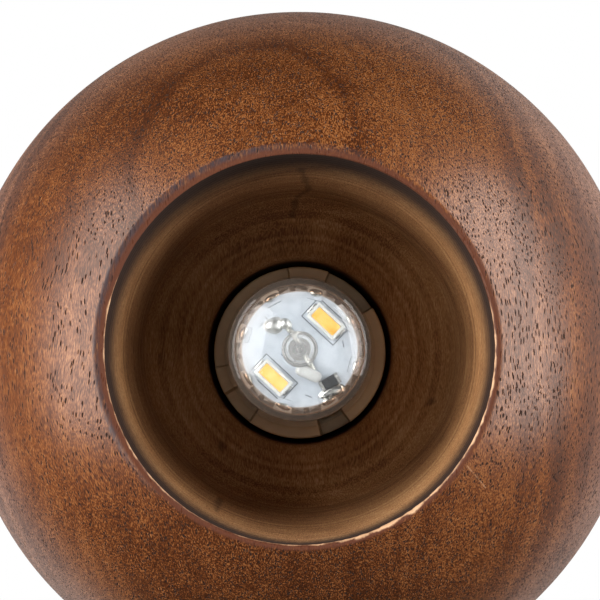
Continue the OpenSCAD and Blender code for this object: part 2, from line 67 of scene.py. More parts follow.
def rounded(corners, closed=True):
    """Outline through corners (x, y, radius, step). Each corner becomes an arc of its radius that touches
    both of its sides, and the straight run after it is divided into lengths of at most step."""
    spots = np.array([corner[:2] for corner in corners], float)
    count = len(spots)
    arcs = []
    for i, (_, _, radius, _) in enumerate(corners):
        inner = closed or 0 < i < count - 1
        if radius == 0 or not inner:
            arcs.append(spots[i:i + 1])
            continue
        before, after = spots[i - 1] - spots[i], spots[(i + 1) % count] - spots[i]
        before, after = before / np.linalg.norm(before), after / np.linalg.norm(after)
        half = math.acos(np.clip(before @ after, -1, 1)) / 2
        middle = (before + after) / np.linalg.norm(before + after)
        centre = spots[i] + middle * radius / math.sin(half)
        ends = np.array([before, after]) * radius / math.tan(half) + spots[i] - centre
        start, stop = np.arctan2(ends[:, 1], ends[:, 0])
        sweep = (stop - start + math.pi) % (2 * math.pi) - math.pi
        turn = start + sweep * np.linspace(0, 1, max(7, math.ceil(abs(sweep) * radius / (0.5 * MM))))
        arcs.append(centre + radius * np.stack([np.cos(turn), np.sin(turn)], 1))
    line = []
    for i in range(count):
        line.append(arcs[i])
        if i == count - 1 and not closed:
            break
        start, stop = arcs[i][-1], arcs[(i + 1) % count][0]
        parts = max(1, math.ceil(np.linalg.norm(stop - start) / corners[i][3]))
        line.append(start + (stop - start) * np.linspace(0, 1, parts + 1)[1:-1, None])
    return np.concatenate(line)


def revolved(profile, columns):
    """Grid of a profile (r, z) carried round the Z axis: x = r cos a, y = r sin a."""
    turn = np.linspace(0, 2 * math.pi, columns, endpoint=False)
    r, z = profile[:, :1], profile[:, 1:]
    return np.stack([r * np.cos(turn), r * np.sin(turn), z + 0 * turn], -1)


def mesh_piece(name, grids, closed_rows=False, sharp_deg=40):
    """Object from grids of points (rows, columns, 3). Each cell is a quad, columns close on themselves, and
    rows do where closed_rows says so. Points that fall together, as at a pole, are merged, and faces look
    outwards."""
    points, quads, start = [], [], 0
    for grid in grids:
        rows, columns = grid.shape[:2]
        here = start + np.arange(rows * columns).reshape(rows, columns)
        beside = np.roll(here, -1, 1)
        cells = np.stack([here, beside, np.roll(beside, -1, 0), np.roll(here, -1, 0)], -1)
        quads.append((cells if closed_rows else cells[:-1]).reshape(-1, 4))
        points.append(grid.reshape(-1, 3))
        start += rows * columns
    mesh = bpy.data.meshes.new(name)
    mesh.from_pydata(np.concatenate(points).tolist(), [], np.concatenate(quads).tolist())
    shell = bmesh.new()
    shell.from_mesh(mesh)
    bmesh.ops.remove_doubles(shell, verts=shell.verts, dist=1e-7)
    bmesh.ops.recalc_face_normals(shell, faces=shell.faces)
    shell.to_mesh(mesh)
    shell.free()
    mesh.shade_smooth()
    mesh.set_sharp_from_angle(angle=math.radians(sharp_deg))
    piece = bpy.data.objects.new(name, mesh)
    bpy.context.scene.collection.objects.link(piece)
    return piece


def near_line(across, along, line):
    """Least distance of each point (across, along) from a broken line of points in the same plane."""
    spot = np.stack([across, along], -1)
    least = np.full(across.shape, np.inf)
    for start, stop in zip(line[:-1], line[1:]):
        run = stop - start
        share = np.clip((spot - start) @ run / (run @ run), 0, 1)
        least = np.minimum(least, np.linalg.norm(spot - start - share[..., None] * run, axis=-1))
    return least


# The ball's outline: crown, sphere, mouth, the hollow's wall and floor, the bore, and back to the crown
top_deg = math.degrees(math.asin(crown_flat_r / ball_r)) + 1.5
rim_deg = 180 - math.degrees(math.asin(mouth_r / ball_r)) - 1.3
arc_deg = np.concatenate([np.linspace(top_deg, rim_deg - 6, 110), np.linspace(rim_deg - 5.8, rim_deg, 30)])
sphere = [(ball_r * math.sin(a), ball_z + ball_r * math.cos(a), 0, 1) for a in np.radians(arc_deg)]
shade_profile = rounded(
    [(nipple_hole_r, crown_z, 0.3 * MM, 2 * MM), (crown_flat_r, crown_z, crown_round, 1)] + sphere + [
        (mouth_r, mouth_z, mouth_round, 0.5 * MM), (floor_r, floor_z, floor_round, 0.45 * MM),
        (bore_r, floor_z, bore_round, 4 * MM), (bore_r, bore_top_z, 0.5 * MM, 4 * MM),
        (nipple_hole_r, bore_top_z, 0.2 * MM, 4 * MM)])
steps = np.linalg.norm(np.diff(shade_profile, axis=0), axis=1)
along = np.concatenate([[0], np.cumsum(steps)])
from_edge = along - along[np.argmin(shade_profile[:, 1])]
tangent = np.roll(shade_profile, -1, 0) - np.roll(shade_profile, 1, 0)
tangent /= np.linalg.norm(tangent, axis=1)[:, None]
outward = np.stack([-tangent[:, 1], tangent[:, 0]], 1)

# Clock angle of each column, in degrees clockwise from twelve o'clock in the view from below. By it go the
# shares of rubbed edge and of the band of painted shade, the depth of the dark band inside the edge and the
# width of the land.
clock = (np.degrees(np.linspace(0, 2 * math.pi, shade_columns, endpoint=False)) + 90) % 360
wear = np.interp(clock, [0, 72, 82, 100, 125, 138, 147, 157, 170, 190, 205, 225, 284, 296, 360],
                 [0.03, 0.03, 0.5, 0.6, 0.58, 0.8, 1.1, 1.0, 0.6, 0.4, 0.3, 0.52, 0.52, 0.03, 0.03])
left_band_shade = np.interp(clock, [0, 14, 30, 222, 245, 340, 360], [0.5, 0.4, 0, 0, 1, 1, 0.5])
dark_band_depth = np.interp(clock, np.arange(0, 361, 30),
                        [25, 22, 18, 15, 14, 10, 5.5, 12, 17, 17, 20, 26, 25]) * MM
land_w = np.interp(clock, [0, 30, 60, 120, 150, 200, 235, 255, 300, 335, 360],
                   [1.4, 1.0, 0.9, 0.8, 0.6, 0.5, 0.9, 1.55, 1.75, 1.9, 1.4]) * MM
surface = revolved(shade_profile, shade_columns)

# The mouth was sanded flat by hand, so a land of uneven width runs round it
land_blend = 0.14 * MM
land_drop = surface[..., 2] - ball_z + np.sqrt(ball_r ** 2 - (mouth_r + land_w) ** 2)
surface[..., 2] += (np.sqrt(land_drop ** 2 + land_blend ** 2) - land_drop) / 2

# Sanding left soft waves outside, the gouge left rings in the hollow, and knocks left nicks in the edge
wave_len, wave_lift_mm = 11 * MM, 0.14
hollow_run = 62 * MM
gouge_step, gouge_drift, gouge_lift = 1.9 * MM, 4.3 * MM, 0.05 * MM
nick_at, nick_w, nick_depth_mm = 0.5 * MM, 0.8 * MM, 0.16
draws = np.random.default_rng(7)
waves = draws.normal(0, 1 / wave_len, (9, 3))
sanding = np.cos(surface @ waves.T + draws.uniform(0, 6.3, 9)).mean(-1) * wave_lift_mm * MM
inside = ((from_edge > 0) & (from_edge < hollow_run))[:, None]
ring_phase = from_edge / gouge_step * 6.283 + 1.7 * np.sin(from_edge / gouge_drift)
wobble = 0.5 * np.sin(np.radians(clock) * 2 + 1) + 0.3 * np.sin(np.radians(clock) * 3)
gouge_rings = gouge_lift * np.sin(ring_phase[:, None] + wobble)
edge_nicks = np.interp(np.abs(from_edge - nick_at), [0, nick_w], [1, 0])[:, None] * wear
edge_nicks = edge_nicks * (0.6 + 0.4 * draws.normal(0, 1, shade_columns)) * nick_depth_mm * MM
lift = np.where(inside, gouge_rings, sanding * (from_edge < 0)[:, None]) - edge_nicks
turn = np.radians(clock - 90)
surface += lift[..., None] * np.stack(
    [outward[:, :1] * np.cos(turn), outward[:, :1] * np.sin(turn), outward[:, 1:] + 0 * turn], -1)

# Drying cracks and dents in the raw hollow: clock angle in degrees and distance in from the edge in mm
crack_lines = [[(0.4, 15), (3.5, 38), (-1.6, 47), (-2.7, 50.5)], [(207.5, 16), (208.5, 33)]]
dents = [[(219.7, 53), (220.5, 53.4)], [(110, 49.5), (110.6, 50)]]
mark_w = 0.6 * MM
wall_r_mm = 26
marks = np.zeros(surface.shape[:2])
for line in crack_lines + dents:
    middle_deg = line[0][0]
    away = (clock - middle_deg + 180) % 360 - 180
    across = np.radians(away) * shade_profile[:, :1]
    path = np.array([(math.radians(deg - middle_deg) * wall_r_mm * MM, mm * MM) for deg, mm in line])
    near = near_line(across, from_edge[:, None] + 0 * across, path)
    marks = np.maximum(marks, np.clip(1.1 - near / mark_w, 0, 0.5))

shade = mesh_piece("shade_body", [surface], closed_rows=True)
edge_column = from_edge[:, None]
for name, values in (("from_edge", edge_column + 0 * turn), ("wear", 0 * edge_column + wear),
                     ("left_band_shade", 0 * edge_column + left_band_shade), ("marks", marks),
                     ("spray", edge_column / dark_band_depth)):
    layer = shade.data.attributes.new(name, "FLOAT", "POINT")
    layer.data.foreach_set("value", values.astype(np.float32).ravel())


def linear(colour):
    """Linear RGBA of an sRGB hex colour."""
    srgb = np.array([int(colour[i:i + 2], 16) for i in (1, 3, 5)]) / 255
    rgb = np.where(srgb <= 0.04045, srgb / 12.92, ((srgb + 0.055) / 1.055) ** 2.4)
    return (*rgb.tolist(), 1.0)


def node(tree, kind, inputs=None, out=0, stops=(), **settings):
    """Adds one shader node, sets its properties and its ramp's (place, colour) stops, and gives each input,
    by name or number, a value or a link. Returns the output called or numbered out, or all for None."""
    made = tree.nodes.new("ShaderNode" + kind)
    for key, value in settings.items():
        setattr(made, key, value)
    if stops:
        ramp = made.color_ramp.elements
        for _ in stops[2:]:
            ramp.new(1)
        for element, (place, colour) in zip(ramp, stops):
            element.position = place
            element.color = linear(colour)
    for key, value in (inputs or {}).items():
        if isinstance(value, bpy.types.NodeSocket):
            tree.links.new(value, made.inputs[key])
        else:
            made.inputs[key].default_value = value
    return made.outputs if out is None else made.outputs[out]


# Stained and oiled hardwood. The fibres run along Y, so pores are dashes on the left and right and dots at
# the ends, and the growth rings are rounds about a pith near the mouth. The stain sinks into pores and rings.
# Single fibres are too fine to show, so they are drawn coarser, as hairs and flecks.
pith = (-9.7 * MM, 0, -49.6 * MM)
sway_len, sway_reach = 26 * MM, 7 * MM
ring_gap, ring_reach = 3.6 * MM, 80 * MM
hair_w, hair_len, fleck_len = 0.17 * MM, 2.6 * MM, 0.8 * MM
mottle_len, blotch_len = 5 * MM, 24 * MM
hardwood = bpy.data.materials.new("stained_hardwood")
hardwood.use_nodes = True
tree = hardwood.node_tree
tree.nodes.clear()
coords = node(tree, "TexCoord", out="Object")
centred = node(tree, "Mapping", {"Vector": coords, "Location": (0, 0, -ball_z)})
sway = node(tree, "TexNoise", {"Vector": centred, "Scale": 1 / sway_len, "Detail": 2}, "Color")
sway = node(tree, "VectorMath", {0: sway, 1: (0.5, 0.5, 0.5)}, operation="SUBTRACT")
fibres = node(tree, "VectorMath", {0: sway, 1: (sway_reach,) * 3, 2: centred}, operation="MULTIPLY_ADD")
cross_grain = node(tree, "VectorMath", {0: fibres, 1: (1, 0, 1)}, operation="MULTIPLY")
from_pith = node(tree, "VectorMath", {0: cross_grain, 1: pith}, "Value", operation="DISTANCE")
rings = node(tree, "TexNoise", {"W": from_pith, "Scale": 1 / ring_gap, "Detail": 4}, "Fac",
             noise_dimensions="1D")
ring_place = node(tree, "MapRange", {"Value": from_pith, "From Max": ring_reach})
dark_ring = node(tree, "ValToRGB", {"Fac": ring_place}, stops=[
    (0.0, "#000000"), (0.12, "#000000"), (0.137, "#5A5A5A"), (0.155, "#000000"), (0.195, "#000000"),
    (0.225, "#E0E0E0"), (0.245, "#606060"), (0.28, "#000000"), (0.55, "#000000"), (0.602, "#E8E8E8"),
    (0.612, "#707070"), (0.68, "#000000")])
place = node(tree, "SeparateXYZ", {0: centred}, None)
ring_share = node(tree, "MapRange", {"Value": place[1], "From Min": -30 * MM, "From Max": 0, "To Min": 0.7,
                                     "To Max": 0.12})
dark_ring = node(tree, "Math", {0: dark_ring, 1: ring_share}, operation="MULTIPLY")
hair_vector = node(tree, "VectorMath", {0: fibres, 1: (1 / hair_w, 1 / hair_len, 1 / hair_w)},
                   operation="MULTIPLY")
hairs = node(tree, "TexNoise", {"Vector": hair_vector, "Scale": 1, "Detail": 2}, "Fac")
hairs = node(tree, "MapRange", {"Value": hairs, "From Min": 0.3, "From Max": 0.7})
fleck_vector = node(tree, "VectorMath", {0: fibres, 1: (1 / hair_w, 1 / fleck_len, 1 / hair_w)},
                    operation="MULTIPLY")
flecks = node(tree, "TexNoise", {"Vector": fleck_vector, "Scale": 1, "Detail": 1}, "Fac")
flecks = node(tree, "MapRange", {"Value": flecks, "From Min": 0.35, "From Max": 0.65})
# Towards the ends of the fibres the flecks turn to strong speckles
to_end = node(tree, "Math", {0: place[1]}, operation="ABSOLUTE")
speckled = node(tree, "MapRange", {"Value": to_end, "From Min": 15 * MM, "From Max": 50 * MM, "To Min": 0.85,
                                   "To Max": 3.0})
flecks = node(tree, "Math", {0: flecks, 1: 0.5}, operation="SUBTRACT")
flecks = node(tree, "Math", {0: flecks, 1: speckled, 2: 0.5}, operation="MULTIPLY_ADD")
mottle = node(tree, "TexNoise", {"Vector": fibres, "Scale": 1 / mottle_len, "Detail": 3}, "Fac")
blotch = node(tree, "TexNoise", {"Vector": centred, "Scale": 1 / blotch_len, "Detail": 2}, "Fac")
tone = node(tree, "Math", {0: dark_ring, 1: -0.4, 2: 0.5}, operation="MULTIPLY_ADD")
for source, share in ((rings, 0.38), (hairs, 0.33), (flecks, 0.34), (mottle, 0.28), (blotch, 0.42)):
    part = node(tree, "Math", {0: source, 1: share, 2: -share / 2}, operation="MULTIPLY_ADD")
    tone = node(tree, "Math", {0: tone, 1: part}, operation="ADD")
raw_tone = tone
# Paler and darker patches outside, partly the wood's own tone and partly painted light and shade for light
# that
# falls unevenly. Each: X and Y in mm on the ball's lower half, reach in mm and change of tone
for (x, y), reach, shift in (((17, -32), 18, 0.14), ((3, -35), 13, 0.13), ((27, -37), 16, 0.08),
                             ((-26, -40), 20, -0.13), ((-2, -48), 19, -0.15), ((2, 46), 30, -0.2),
                             ((-22, 40), 16, -0.16), ((-35, -5), 13, 0.09), ((32, 18.5), 16, 0.12)):
    spot = (x * MM, y * MM, -math.sqrt(ball_r ** 2 - (x * MM) ** 2 - (y * MM) ** 2))
    off = node(tree, "VectorMath", {0: fibres, 1: spot}, "Value", operation="DISTANCE")
    part = node(tree, "MapRange", {"Value": off, "From Max": reach * MM, "To Min": shift, "To Max": 0},
                interpolation_type="SMOOTHSTEP")
    tone = node(tree, "Math", {0: tone, 1: part}, operation="ADD")
stained = node(tree, "ValToRGB", {"Fac": tone}, stops=[
    (0.2, "#321503"), (0.38, "#472006"), (0.52, "#5A2D10"), (0.64, "#6D3C1B"), (0.8, "#885731")])

# Pores are long thin cells of the wood, open at the surface, and closer together on the right
pore_gap, pore_len = 0.44 * MM, 1.8 * MM
pore_vector = node(tree, "VectorMath", {0: fibres, 1: (1 / pore_gap, 1 / pore_len, 1 / pore_gap)},
                   operation="MULTIPLY")
pore_cells = node(tree, "TexVoronoi", {"Vector": pore_vector, "Scale": 1}, None, feature="F1")
chance = node(tree, "SeparateColor", {0: pore_cells["Color"]})
filled = node(tree, "MapRange", {"Value": place[0], "From Min": -60 * MM, "From Max": 60 * MM, "To Min": 0.24,
                                 "To Max": 0.66})
filled = node(tree, "Math", {0: mottle, 1: 0.5, 2: filled}, operation="MULTIPLY_ADD")
filled = node(tree, "Math", {0: filled, 1: -0.1}, operation="ADD")
is_open = node(tree, "Math", {0: chance, 1: filled}, operation="LESS_THAN")
core = node(tree, "MapRange", {"Value": pore_cells["Distance"], "From Min": 0.26, "From Max": 0.34,
                               "To Min": 1, "To Max": 0})
pores = node(tree, "Math", {0: core, 1: is_open}, operation="MULTIPLY")
pore_stain = node(tree, "Math", {0: pores, 1: 0.92}, operation="MULTIPLY")
stained = node(tree, "Mix", {0: pore_stain, 6: stained, 7: linear("#160904")}, 2, data_type="RGBA")

# Painted shade at the mouth: a purple-brown band outside the edge on the left, darkening the land where it
# turns away from the lamps. Distances from the edge are negative outside and positive in the hollow.
edge_torn = 1.2 * MM
band_from, band_to = -1.95 * MM, 0.4 * MM
edge_place = node(tree, "Attribute", out="Fac", attribute_name="from_edge")
ragged = node(tree, "TexNoise", {"Vector": hair_vector, "Scale": 0.35, "Detail": 4}, "Fac")
streaked = node(tree, "MapRange", {"Value": ragged, "From Min": 0.36, "From Max": 0.62, "To Min": 0.3,
                                   "To Max": 1.0})
ragged = node(tree, "Math", {0: ragged, 1: edge_torn, 2: -edge_torn / 2}, operation="MULTIPLY_ADD")
torn_edge = node(tree, "Math", {0: edge_place, 1: ragged}, operation="ADD")
band_share = node(tree, "Attribute", out="Fac", attribute_name="left_band_shade")
band_window = node(tree, "MapRange", {"Value": torn_edge, "From Min": band_from, "From Max": band_to})
band_window = node(tree, "ValToRGB", {"Fac": band_window}, stops=[
    (0.1, "#000000"), (0.25, "#FFFFFF"), (0.68, "#FFFFFF"), (0.8, "#000000")])
band_share = node(tree, "Math", {0: band_share, 1: band_window}, operation="MULTIPLY")
band_shade_tint = node(tree, "Math", {0: band_share, 1: streaked}, operation="MULTIPLY")
stained = node(tree, "Mix", {0: band_shade_tint, 6: stained, 7: linear("#35282C")}, 2, data_type="RGBA")

# Painted shade: a dull red-brown strip right outside the edge, where the land turns away from the lamps
strip_from, strip_to = -0.7 * MM, -0.2 * MM
strip = node(tree, "MapRange", {"Value": torn_edge, "From Min": strip_from, "From Max": strip_to})
strip_shade_tint = node(tree, "Math", {0: strip, 1: 0.88}, operation="MULTIPLY")
stained = node(tree, "Mix", {0: strip_shade_tint, 6: stained, 7: linear("#4E220C")}, 2, data_type="RGBA")

# Inside the edge the wood is dark, and it fades out over a depth that is greatest at the top and left.
# Deeper the wood is raw, ringed by the gouge and cracked.
dark_from, dark_to = 0.7 * MM, 1.5 * MM
gouge_band = 1.5 * MM
dark_inside_place = node(tree, "Attribute", out="Fac", attribute_name="spray")
dark_inside_place = node(tree, "Math", {0: ragged, 1: 0.25 / MM, 2: dark_inside_place}, operation="MULTIPLY_ADD")
raw_share = node(tree, "MapRange", {"Value": dark_inside_place, "From Min": 0.22, "From Max": 1.25},
                 interpolation_type="SMOOTHSTEP")
within = node(tree, "MapRange", {"Value": torn_edge, "From Min": dark_from, "From Max": dark_to})
darkened = node(tree, "Math", {0: within, 1: 0.97}, operation="MULTIPLY")
stained = node(tree, "Mix", {0: darkened, 6: stained, 7: linear("#1A0B04")}, 2, data_type="RGBA")
gouge = node(tree, "TexNoise", {"W": edge_place, "Scale": 1 / gouge_band, "Detail": 3}, "Fac",
             noise_dimensions="1D")
gouge = node(tree, "Math", {0: gouge, 1: 0.5, 2: -0.25}, operation="MULTIPLY_ADD")
raw_tone = node(tree, "Math", {0: raw_tone, 1: 0.8, 2: gouge}, operation="MULTIPLY_ADD")
raw_tone = node(tree, "Math", {0: raw_tone, 1: 0.1}, operation="ADD")
raw = node(tree, "ValToRGB", {"Fac": raw_tone}, stops=[
    (0.2, "#70462A"), (0.45, "#976A40"), (0.62, "#AA7C4E"), (0.85, "#C0986C")])
crack = node(tree, "Attribute", out="Fac", attribute_name="marks")
raw = node(tree, "Mix", {0: crack, 6: raw, 7: linear("#2B190E")}, 2, data_type="RGBA")
colour = node(tree, "Mix", {0: raw_share, 6: stained, 7: raw}, 2, data_type="RGBA")

# Where the edge is rubbed and chipped, pale bare wood shows
chip_len = 2.4 * MM
worn_at, worn_w, worn_blend = 0.62 * MM, 0.9 * MM, 0.38 * MM
worn = node(tree, "Attribute", out="Fac", attribute_name="wear")
chipped = node(tree, "TexNoise", {"Vector": coords, "Scale": 1 / chip_len, "Detail": 4}, "Fac")
chipped = node(tree, "MapRange", {"Value": chipped, "From Min": 0.35, "From Max": 0.65, "To Min": 0.42,
                                  "To Max": 1.1})
worn = node(tree, "Math", {0: worn, 1: chipped}, operation="MULTIPLY")
worn_reach = node(tree, "Math", {0: worn, 1: worn_w, 2: -0.08 * MM}, operation="MULTIPLY_ADD")
off_edge = node(tree, "Math", {0: edge_place, 1: worn_at}, operation="SUBTRACT")
off_edge = node(tree, "Math", {0: off_edge}, operation="ABSOLUTE")
off_edge = node(tree, "Math", {0: ragged, 1: 0.3, 2: off_edge}, operation="MULTIPLY_ADD")
bare = node(tree, "Math", {0: worn_reach, 1: off_edge}, operation="SUBTRACT")
bare = node(tree, "MapRange", {"Value": bare, "From Min": 0, "From Max": worn_blend})
colour = node(tree, "Mix", {0: bare, 6: colour, 7: linear("#CBA07A")}, 2, data_type="RGBA")

# A pale scratch runs outwards from the edge at the lower right
scratch_ends = []
for deg, r in ((34.9, 32.4 * MM), (36.7, 37.2 * MM)):
    turn = math.radians(deg)
    scratch_ends.append(np.array([r * math.cos(turn), r * math.sin(turn), -math.sqrt(ball_r ** 2 - r ** 2)]))
scratch_run = scratch_ends[1] - scratch_ends[0]
scratch_len = np.linalg.norm(scratch_run)
scratch_way = (scratch_run / scratch_len).tolist()
from_scratch = node(tree, "VectorMath", {0: centred, 1: scratch_ends[0].tolist()}, operation="SUBTRACT")
beside = node(tree, "VectorMath", {0: from_scratch, 1: scratch_way}, operation="CROSS_PRODUCT")
beside = node(tree, "VectorMath", {0: beside}, "Value", operation="LENGTH")
scratch_at = node(tree, "VectorMath", {0: from_scratch, 1: scratch_way}, "Value", operation="DOT_PRODUCT")
scratch_at = node(tree, "Math", {0: scratch_at, 1: scratch_len / 2, 2: scratch_len / 2}, operation="COMPARE")
beside = node(tree, "Math", {0: ragged, 1: 0.3, 2: beside}, operation="MULTIPLY_ADD")
scratch = node(tree, "MapRange", {"Value": beside, "From Min": 0.03 * MM, "From Max": 0.16 * MM,
                                  "To Min": 0.36, "To Max": 0})
scratch = node(tree, "Math", {0: scratch, 1: scratch_at}, operation="MULTIPLY")
colour = node(tree, "Mix", {0: scratch, 6: colour, 7: linear("#C79A76")}, 2, data_type="RGBA")

# Satin oil: glossier over dense wood, dull in pores, in the band at the mouth's left and on everything
# inside. Raised fibres scatter light that grazes the wood, so its gloss fades towards the outline.
relief_depth = 0.1 * MM
sheen = node(tree, "MapRange", {"Value": tone, "From Min": 0.3, "From Max": 0.7, "To Min": 0.4,
                                "To Max": 0.28})
for source, share in ((pores, 0.6), (band_share, 0.12), (strip, 0.2), (within, 0.35), (raw_share, 0.1)):
    sheen = node(tree, "Math", {0: source, 1: share, 2: sheen}, operation="MULTIPLY_ADD")
grazing = node(tree, "LayerWeight", {"Blend": 0.5}, "Facing")
grazing = node(tree, "MapRange", {"Value": grazing, "From Min": 0.5, "From Max": 1, "To Max": 0.22},
               interpolation_type="SMOOTHSTEP")
sheen = node(tree, "Math", {0: sheen, 1: grazing}, operation="ADD")
relief = node(tree, "Math", {0: hairs, 1: 0.1}, operation="MULTIPLY")
relief = node(tree, "Math", {0: pores, 1: -1, 2: relief}, operation="MULTIPLY_ADD")
relief = node(tree, "Math", {0: crack, 1: -2, 2: relief}, operation="MULTIPLY_ADD")
bumped = node(tree, "Bump", {"Height": relief, "Distance": relief_depth, "Strength": 0.6})
skin = node(tree, "BsdfPrincipled", {"Base Color": colour, "Roughness": sheen, "Normal": bumped, "IOR": 1.5,
                                     "Specular Tint": linear("#FFE9DC")})
node(tree, "OutputMaterial", {"Surface": skin}, None)
shade.data.materials.append(hardwood)
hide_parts("wood_shade")
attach(shade, "fixture")


# Hanging hardware in the crown
# A black washer outside and a toothed lock washer and nut inside clamp a hollow steel nipple in the wood.
# All are pressed or turned from steel; the inner ones are zinc plated and stay hidden in the bore.
def mottled(name, low, high, grain_mm, roughness, relief_mm=0.0, stretch=(1, 1, 1), metallic=0.0, ior=1.5):
    """Material whose colour wanders between two tints, and its roughness between two values, over a noise of
    the given grain, which also lifts the surface by relief_mm."""
    made = bpy.data.materials.new(name)
    made.use_nodes = True
    tree = made.node_tree
    tree.nodes.clear()
    coords = node(tree, "TexCoord", out="Object")
    scaled = node(tree, "Mapping", {"Vector": coords, "Scale": stretch})
    grain = node(tree, "TexNoise", {"Vector": scaled, "Scale": 1 / (grain_mm * MM), "Detail": 4}, "Fac")
    tint = node(tree, "ValToRGB", {"Fac": grain}, stops=[(0.3, low), (0.7, high)])
    gloss = node(tree, "MapRange", {"Value": grain, "From Min": 0.3, "From Max": 0.7, "To Min": roughness[0],
                                    "To Max": roughness[1]})
    bumped = node(tree, "Bump", {"Height": grain, "Distance": relief_mm * MM, "Strength": 0.5})
    shell = node(tree, "BsdfPrincipled", {"Base Color": tint, "Roughness": gloss, "Normal": bumped,
                                          "Metallic": metallic, "IOR": ior})
    node(tree, "OutputMaterial", {"Surface": shell}, None)
    return made


def dress(material, *nodes):
    """Puts a material on CAD nodes whose shape is right as it is."""
    for name in nodes:
        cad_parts[name].data.materials.clear()
        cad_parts[name].data.materials.append(material)


# Satin black lacquer on steel, with the faint lines of the lathe, drawn coarser than they are. Zinc plate:
# dull grey steel with soft clouds.
black_lacquer = mottled("black_lacquered_steel", "#1F1F20", "#2C2B2B", 0.35, (0.38, 0.5), 0.01, (0.2, 0.2, 3))
zinc_plate = mottled("zinc_plated_steel", "#A9A8A2", "#C6C4BC", 2.5, (0.28, 0.42), 0.004, metallic=1.0)
washer_low, washer_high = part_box("crown_washer")
washer = mesh_piece("crown_washer_pressed", [revolved(rounded([
    (nipple_hole_r, washer_low.z, 0.1 * MM, 2 * MM), (washer_high.x, washer_low.z, 0.15 * MM, 1 * MM),
    (washer_high.x, washer_high.z, 0.45 * MM, 2 * MM), (nipple_hole_r, washer_high.z, 0.15 * MM, 1 * MM)]),
    128)], closed_rows=True)
washer.data.materials.append(black_lacquer)
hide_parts("crown_washer")
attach(washer, "fixture")
dress(zinc_plate, "hollow_nipple", "lock_washer", "lock_nut")


# Cord grip
# A turned steel barrel, lacquered black, that screws onto the nipple. A slotted screw in its side presses a
# nylon pad against the cord, so the cord hangs from its sheath and not from its wires.

# Natural nylon: milky white, with a dull moulded skin
nylon = mottled("natural_nylon", "#D2CFC4", "#E0DDD3", 1.2, (0.45, 0.6), 0.01)
dress(black_lacquer, "cord_grip")
dress(nylon, "grip_pad")
dress(zinc_plate, "grip_screw")


# Lampholder
# A moulded cream dome screws onto the nipple. The skirt screws onto the dome, clamps the ceramic insert on
# its shoulder and ends in a stepped front edge. The insert carries the brass shell, contacts and terminals.

# Cream thermoplastic: warm and half dull from the mould. Steatite: chalky, fired without glaze. Brass:
# pressed sheet, bright yellow with soft clouds from handling.
cream = mottled("cream_thermoplastic", "#D8BE94", "#E3CDA8", 3, (0.4, 0.55), 0.02)
steatite = mottled("fired_steatite", "#E6DFD0", "#F3EEE3", 0.6, (0.6, 0.8), 0.02)
pressed_brass = mottled("pressed_brass", "#B98F3E", "#D6B463", 4, (0.22, 0.36), 0.003, metallic=1.0)
skirt_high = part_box("holder_skirt")[1]
skirt_r = skirt_high.x
skirt_front_r = skirt_r - 2.5 * MM
skirt_back_r = skirt_r - 1.4 * MM
flange_z = holder_z + 17 * MM
# Steps of the front edge: from and to, in degrees on the clock seen from below, and depth in mm
skirt_steps = [(144, 165, 6), (216, 241, 2.5), (260, 352, 1.2), (20, 58, 6)]
step_run_deg = 1.4


def skirt_surface(columns):
    """Grid of the skirt: its profile (r, z) is carried round the axis, and the rows near the front edge start
    from a height that follows the steps, which rise within step_run_deg."""
    clock = np.linspace(0, 360, columns, endpoint=False)
    cut = np.zeros(columns)
    for start, stop, depth in skirt_steps:
        edge = np.clip(np.minimum(clock - start, stop - clock) / step_run_deg + 0.5, 0, 1)
        cut = np.maximum(cut, depth * MM * edge * edge * (3 - 2 * edge))
    profile = rounded([
        (skirt_front_r, flange_z, 0.1 * MM, 0.8 * MM), (skirt_front_r, holder_z, 0.9 * MM, 1 * MM),
        (skirt_r, holder_z, 0.45 * MM, 0.8 * MM), (skirt_r, skirt_high.z, 0.3 * MM, 1 * MM),
        (skirt_back_r, skirt_high.z, 0.2 * MM, 1 * MM), (skirt_back_r, flange_z, 0.1 * MM, 1 * MM)])
    share = np.clip((flange_z - profile[:, 1]) / (flange_z - holder_z), 0, 1)
    turn = np.radians(clock - 90)
    r, z = profile[:, :1], profile[:, 1:] + share[:, None] * cut
    return np.stack([r * np.cos(turn), r * np.sin(turn), z], -1)


skirt = mesh_piece("holder_skirt_moulded", [skirt_surface(540)], closed_rows=True)
skirt.data.materials.append(cream)
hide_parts("holder_skirt")
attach(skirt, "fixture")
dress(cream, "holder_dome")
dress(steatite, "holder_insert")
dress(zinc_plate, "dome_lock_screw", "terminal_screws")
dress(pressed_brass, "shell_strap", "centre_contact", "contact_rivets", "terminal_blocks")

# Rolled thread: the shell's wall is a right-hand wave that fades out at both ends
thread_pitch = 2.822 * MM
thread_depth = 0.8 * MM
thread_fade = 1.4 * MM


def threaded_surface(r, plain_r, low, high, outside, columns=144):
    """Grid of a rolled sleeve: one wall is plain, and the other waves as (1 + cos(2 pi z / pitch - a)) / 2
    times the thread's depth, which grows from zero within thread_fade of each end."""
    turn = np.linspace(0, 2 * math.pi, columns, endpoint=False)
    z = np.linspace(low, high, math.ceil((high - low) / (0.14 * MM)))[:, None]
    depth = thread_depth * np.clip(np.minimum(z - low, high - z) / thread_fade, 0, 1)
    wave = (1 + np.cos(2 * math.pi * (z - holder_z) / thread_pitch - turn)) / 2
    wall = r - thread_depth + depth * wave if outside else r - depth * (1 - wave)
    threaded = np.stack([wall * np.cos(turn), wall * np.sin(turn), z + 0 * turn], -1)
    plain = revolved(np.stack([plain_r + 0 * z[::-1, 0], z[::-1, 0]], 1)[::12], columns)
    return np.concatenate([threaded, plain])


